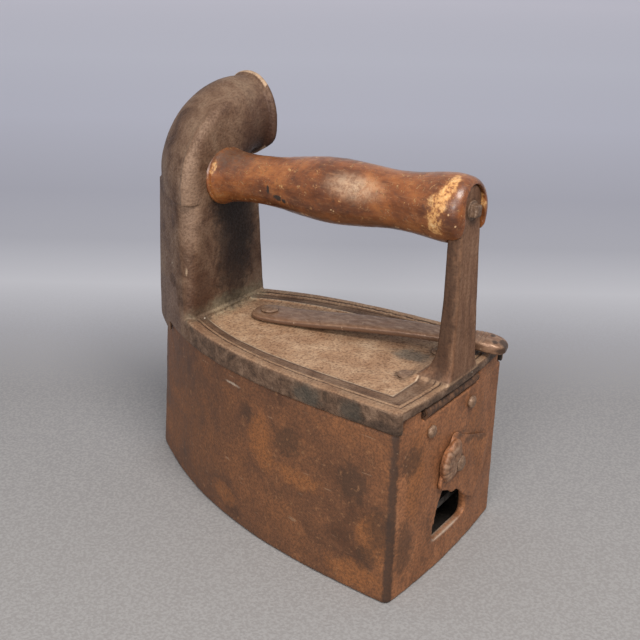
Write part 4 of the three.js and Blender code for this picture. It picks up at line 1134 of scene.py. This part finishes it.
def damper_flap():
    outline = smooth_profile(FLAP_OUTLINE, 1.0)
    back = DAMPER["y"]
    front = back - DAMPER["thickness"]
    # depth, scale, and share of the slope that the far side and the lower edge have there
    sections = (
        (back, 1.0, 0), (back - 0.3, 1.0, 0), ((back + front) / 2, 1.0, 0.45), (front + 0.2, 1.0, 0.9),
        (front, 0.97, 1),
    )
    rings = []
    for y, shrink, slope in sections:
        ring = []
        for x, z in outline:
            far = max(0, min(1, x / 10)) * (1 if z < 6 else 0.4)
            across = x * shrink - DAMPER["chamfer"] * slope * far
            ring.append(flap_point(across, y, z * shrink + 3 * slope * (z < -25)))
        rings.append(ring)
    plate = loft("damper_flap_shell", rings)
    heel = Vector((0, -1, 0))
    radius = SHELL["radius"]
    dome = [(-1.6, radius - 0.6), (0.3, radius - 0.4), (1.0, radius - 1.6), (1.5, radius - 4), (1.7, 2.0)]
    disc = lathe("disc", dome, flap_point(0, front, SHELL["centre"]), heel)
    ribs = []
    for i in range(SHELL["ribs"]):
        turn = math.pi * (0.4 + 0.5 * i / (SHELL["ribs"] - 1))
        tip = radius - 1.9
        root = flap_point(2.6 * math.cos(turn), front - 1.2, 2.6 * math.sin(turn) + 1)
        end = flap_point(tip * math.cos(turn), front - 1.0, SHELL["centre"] + tip * math.sin(turn))
        ribs.append(rod("rib", root, end, 0.9, 1.9, sides=20))
        ribs.append(ball("rib_end", end, (2.1, 1.7, 2.1)))
    lobe = ball("lobe", flap_point(6.4, front - 0.6, SHELL["centre"] + 1.8), (5.2, 2.2, 5.2))
    curl = ball("curl", flap_point(3.0, front - 0.9, SHELL["centre"] - 0.5), (4.0, 2.0, 3.6))
    flap = joined([plate, disc, lobe, curl, *ribs])
    flap = cast(flap, 0.35, 1)
    recess = rod("recess", at(0, -12, DAMPER["z"]), at(0, front - 0.35, DAMPER["z"]), 4.9)
    bore = rod("bore", at(0, -12, DAMPER["z"]), at(0, 5, DAMPER["z"]), 2.1)
    cut(flap, [recess, bore])
    remove(recess, bore)
    cast(flap, 0.32, 1, lumps=((4, 0.25), (1.6, 0.12)))
    return finish_piece(flap, "damper", IRON, "body_iron", "damper_flap")


def ball(name, centre, radii):
    bm = bmesh.new()
    bmesh.ops.create_icosphere(bm, subdivisions=3, radius=1)
    for vertex in bm.verts:
        vertex.co = centre + Vector([c * r * MM for c, r in zip(vertex.co, radii)])
    return mesh_object(name, bm)


# ---- CAD pieces that keep their shape
def carried_over():
    kept = {
        "fire_grate": SOOT, "hinge_body_leaf": SHADED_HINGE, "hinge_lid_leaf": SHADED_HINGE, "hinge_pin": SHADED_HINGE,
        "damper_washer": SOOT, "latch_hook": SOOT, "latch_washer": SOOT,
    }
    for name, material in kept.items():
        node = nodes[name]
        node.data.materials.clear()
        node.data.materials.append(material)
        bevel = node.modifiers.new("soft_edges", "BEVEL")
        bevel.width = 0.3 * MM
        bevel.segments = 2
        bevel.limit_method = "ANGLE"
        bevel.angle_limit = math.radians(35)


# ---- camera, stage and light
CAMERA = dict(place=(-387.6, -192.2, 305.7), heading=-55.01, pitch=22.66, roll=1.31, lens=56.53)


def camera():
    heading, pitch, roll = (math.radians(CAMERA[key]) for key in ("heading", "pitch", "roll"))
    right = Vector((math.cos(heading), math.sin(heading), 0))
    share = math.cos(pitch)
    forward = Vector((-math.sin(heading) * share, math.cos(heading) * share, -math.sin(pitch)))
    up = right.cross(forward)
    side = right * math.cos(roll) + up * math.sin(roll)
    top = up * math.cos(roll) - right * math.sin(roll)
    data = bpy.data.cameras.new("camera")
    data.lens = CAMERA["lens"]
    data.sensor_width = 36
    data.clip_start = 0.01
    made = bpy.data.objects.new("camera", data)
    made.matrix_world = Matrix((side, top, -forward)).transposed().to_4x4()
    made.location = at(*CAMERA["place"])
    bpy.context.scene.collection.objects.link(made)
    bpy.context.scene.camera = made
    return forward


def floor_material(forward):
    """A pale grey cloth-like sheet with painted light: darker towards the camera, a painted bright band
    behind the iron, then lighter and bluer further back.
    """
    p = Paint("studio_floor_grey", 0.8, specular=0.2)
    away = Vector((forward.x, forward.y, 0)).normalized()
    distance = p.node("ShaderNodeVectorMath", operation="DOT_PRODUCT")
    p.feed(distance.inputs[0], p.place)
    distance.inputs[1].default_value = away
    reach = p.math("DIVIDE", p.math("ADD", distance.outputs["Value"], 0.4), 3.4)
    # painted light: the sheet's brightness by distance stands in for a lit studio sweep
    p.colour = p.tones(
        reach, (0.1, (0.24, 0.228, 0.223)), (0.155, (0.222, 0.215, 0.22)), (0.185, (0.318, 0.314, 0.336)),
        (0.215, (0.468, 0.466, 0.494)), (0.25, (0.38, 0.38, 0.42)), (0.3, (0.388, 0.388, 0.442)),
        (0.42, (0.56, 0.56, 0.64)), (0.6, (0.71, 0.705, 0.785)), (1.0, (0.88, 0.85, 0.93)),
    )
    grain = p.noise(1.6, 3, 0.6, 0.5)
    near = p.spread(distance.outputs["Value"], 0.35, 0.0)
    p.lay((0.28, 0.27, 0.265), p.times(p.spread(grain, 0.4, 0.62), near))
    p.bump((p.times(grain, near), 0.35))
    return p.done()


def stage(forward):
    bm = bmesh.new()
    bmesh.ops.create_grid(bm, x_segments=8, y_segments=8, size=7)
    floor = mesh_object("studio_floor", bm)
    floor.location.z = -0.0002
    floor.data.materials.append(floor_material(forward))
    world = bpy.data.worlds.new("studio")
    bpy.context.scene.world = world
    world.use_nodes = True
    background = world.node_tree.nodes["Background"]
    background.inputs["Color"].default_value = (0.93, 0.95, 1.0, 1)
    background.inputs["Strength"].default_value = 0.55
    aim = at(0, 95, 80)
    lamps = (
        ("key", (-0.3, -0.45, 0.84), 1.3, 0.6, 15.5, (1, 0.97, 0.93)),
        ("window", (-0.88, -0.25, 0.4), 1.4, 0.5, 10.8, (1, 0.97, 0.94)),
    )
    for name, heading, distance, size, power, colour in lamps:
        data = bpy.data.lights.new(name, "AREA")
        data.shape = "DISK"
        data.size = size
        data.energy = power
        data.color = colour
        lamp = bpy.data.objects.new(name, data)
        direction = Vector(heading).normalized()
        lamp.location = aim + direction * distance
        lamp.rotation_mode = "QUATERNION"
        lamp.rotation_quaternion = direction.to_track_quat("Z", "Y")
        bpy.context.scene.collection.objects.link(lamp)
    bpy.context.scene.view_settings.view_transform = "Standard"


forward = camera()
stage(forward)
body_casting()
lid_casting()
wooden_grip()
handle_bolt()
rivets()
latch_lever()
damper_flap()
carried_over()
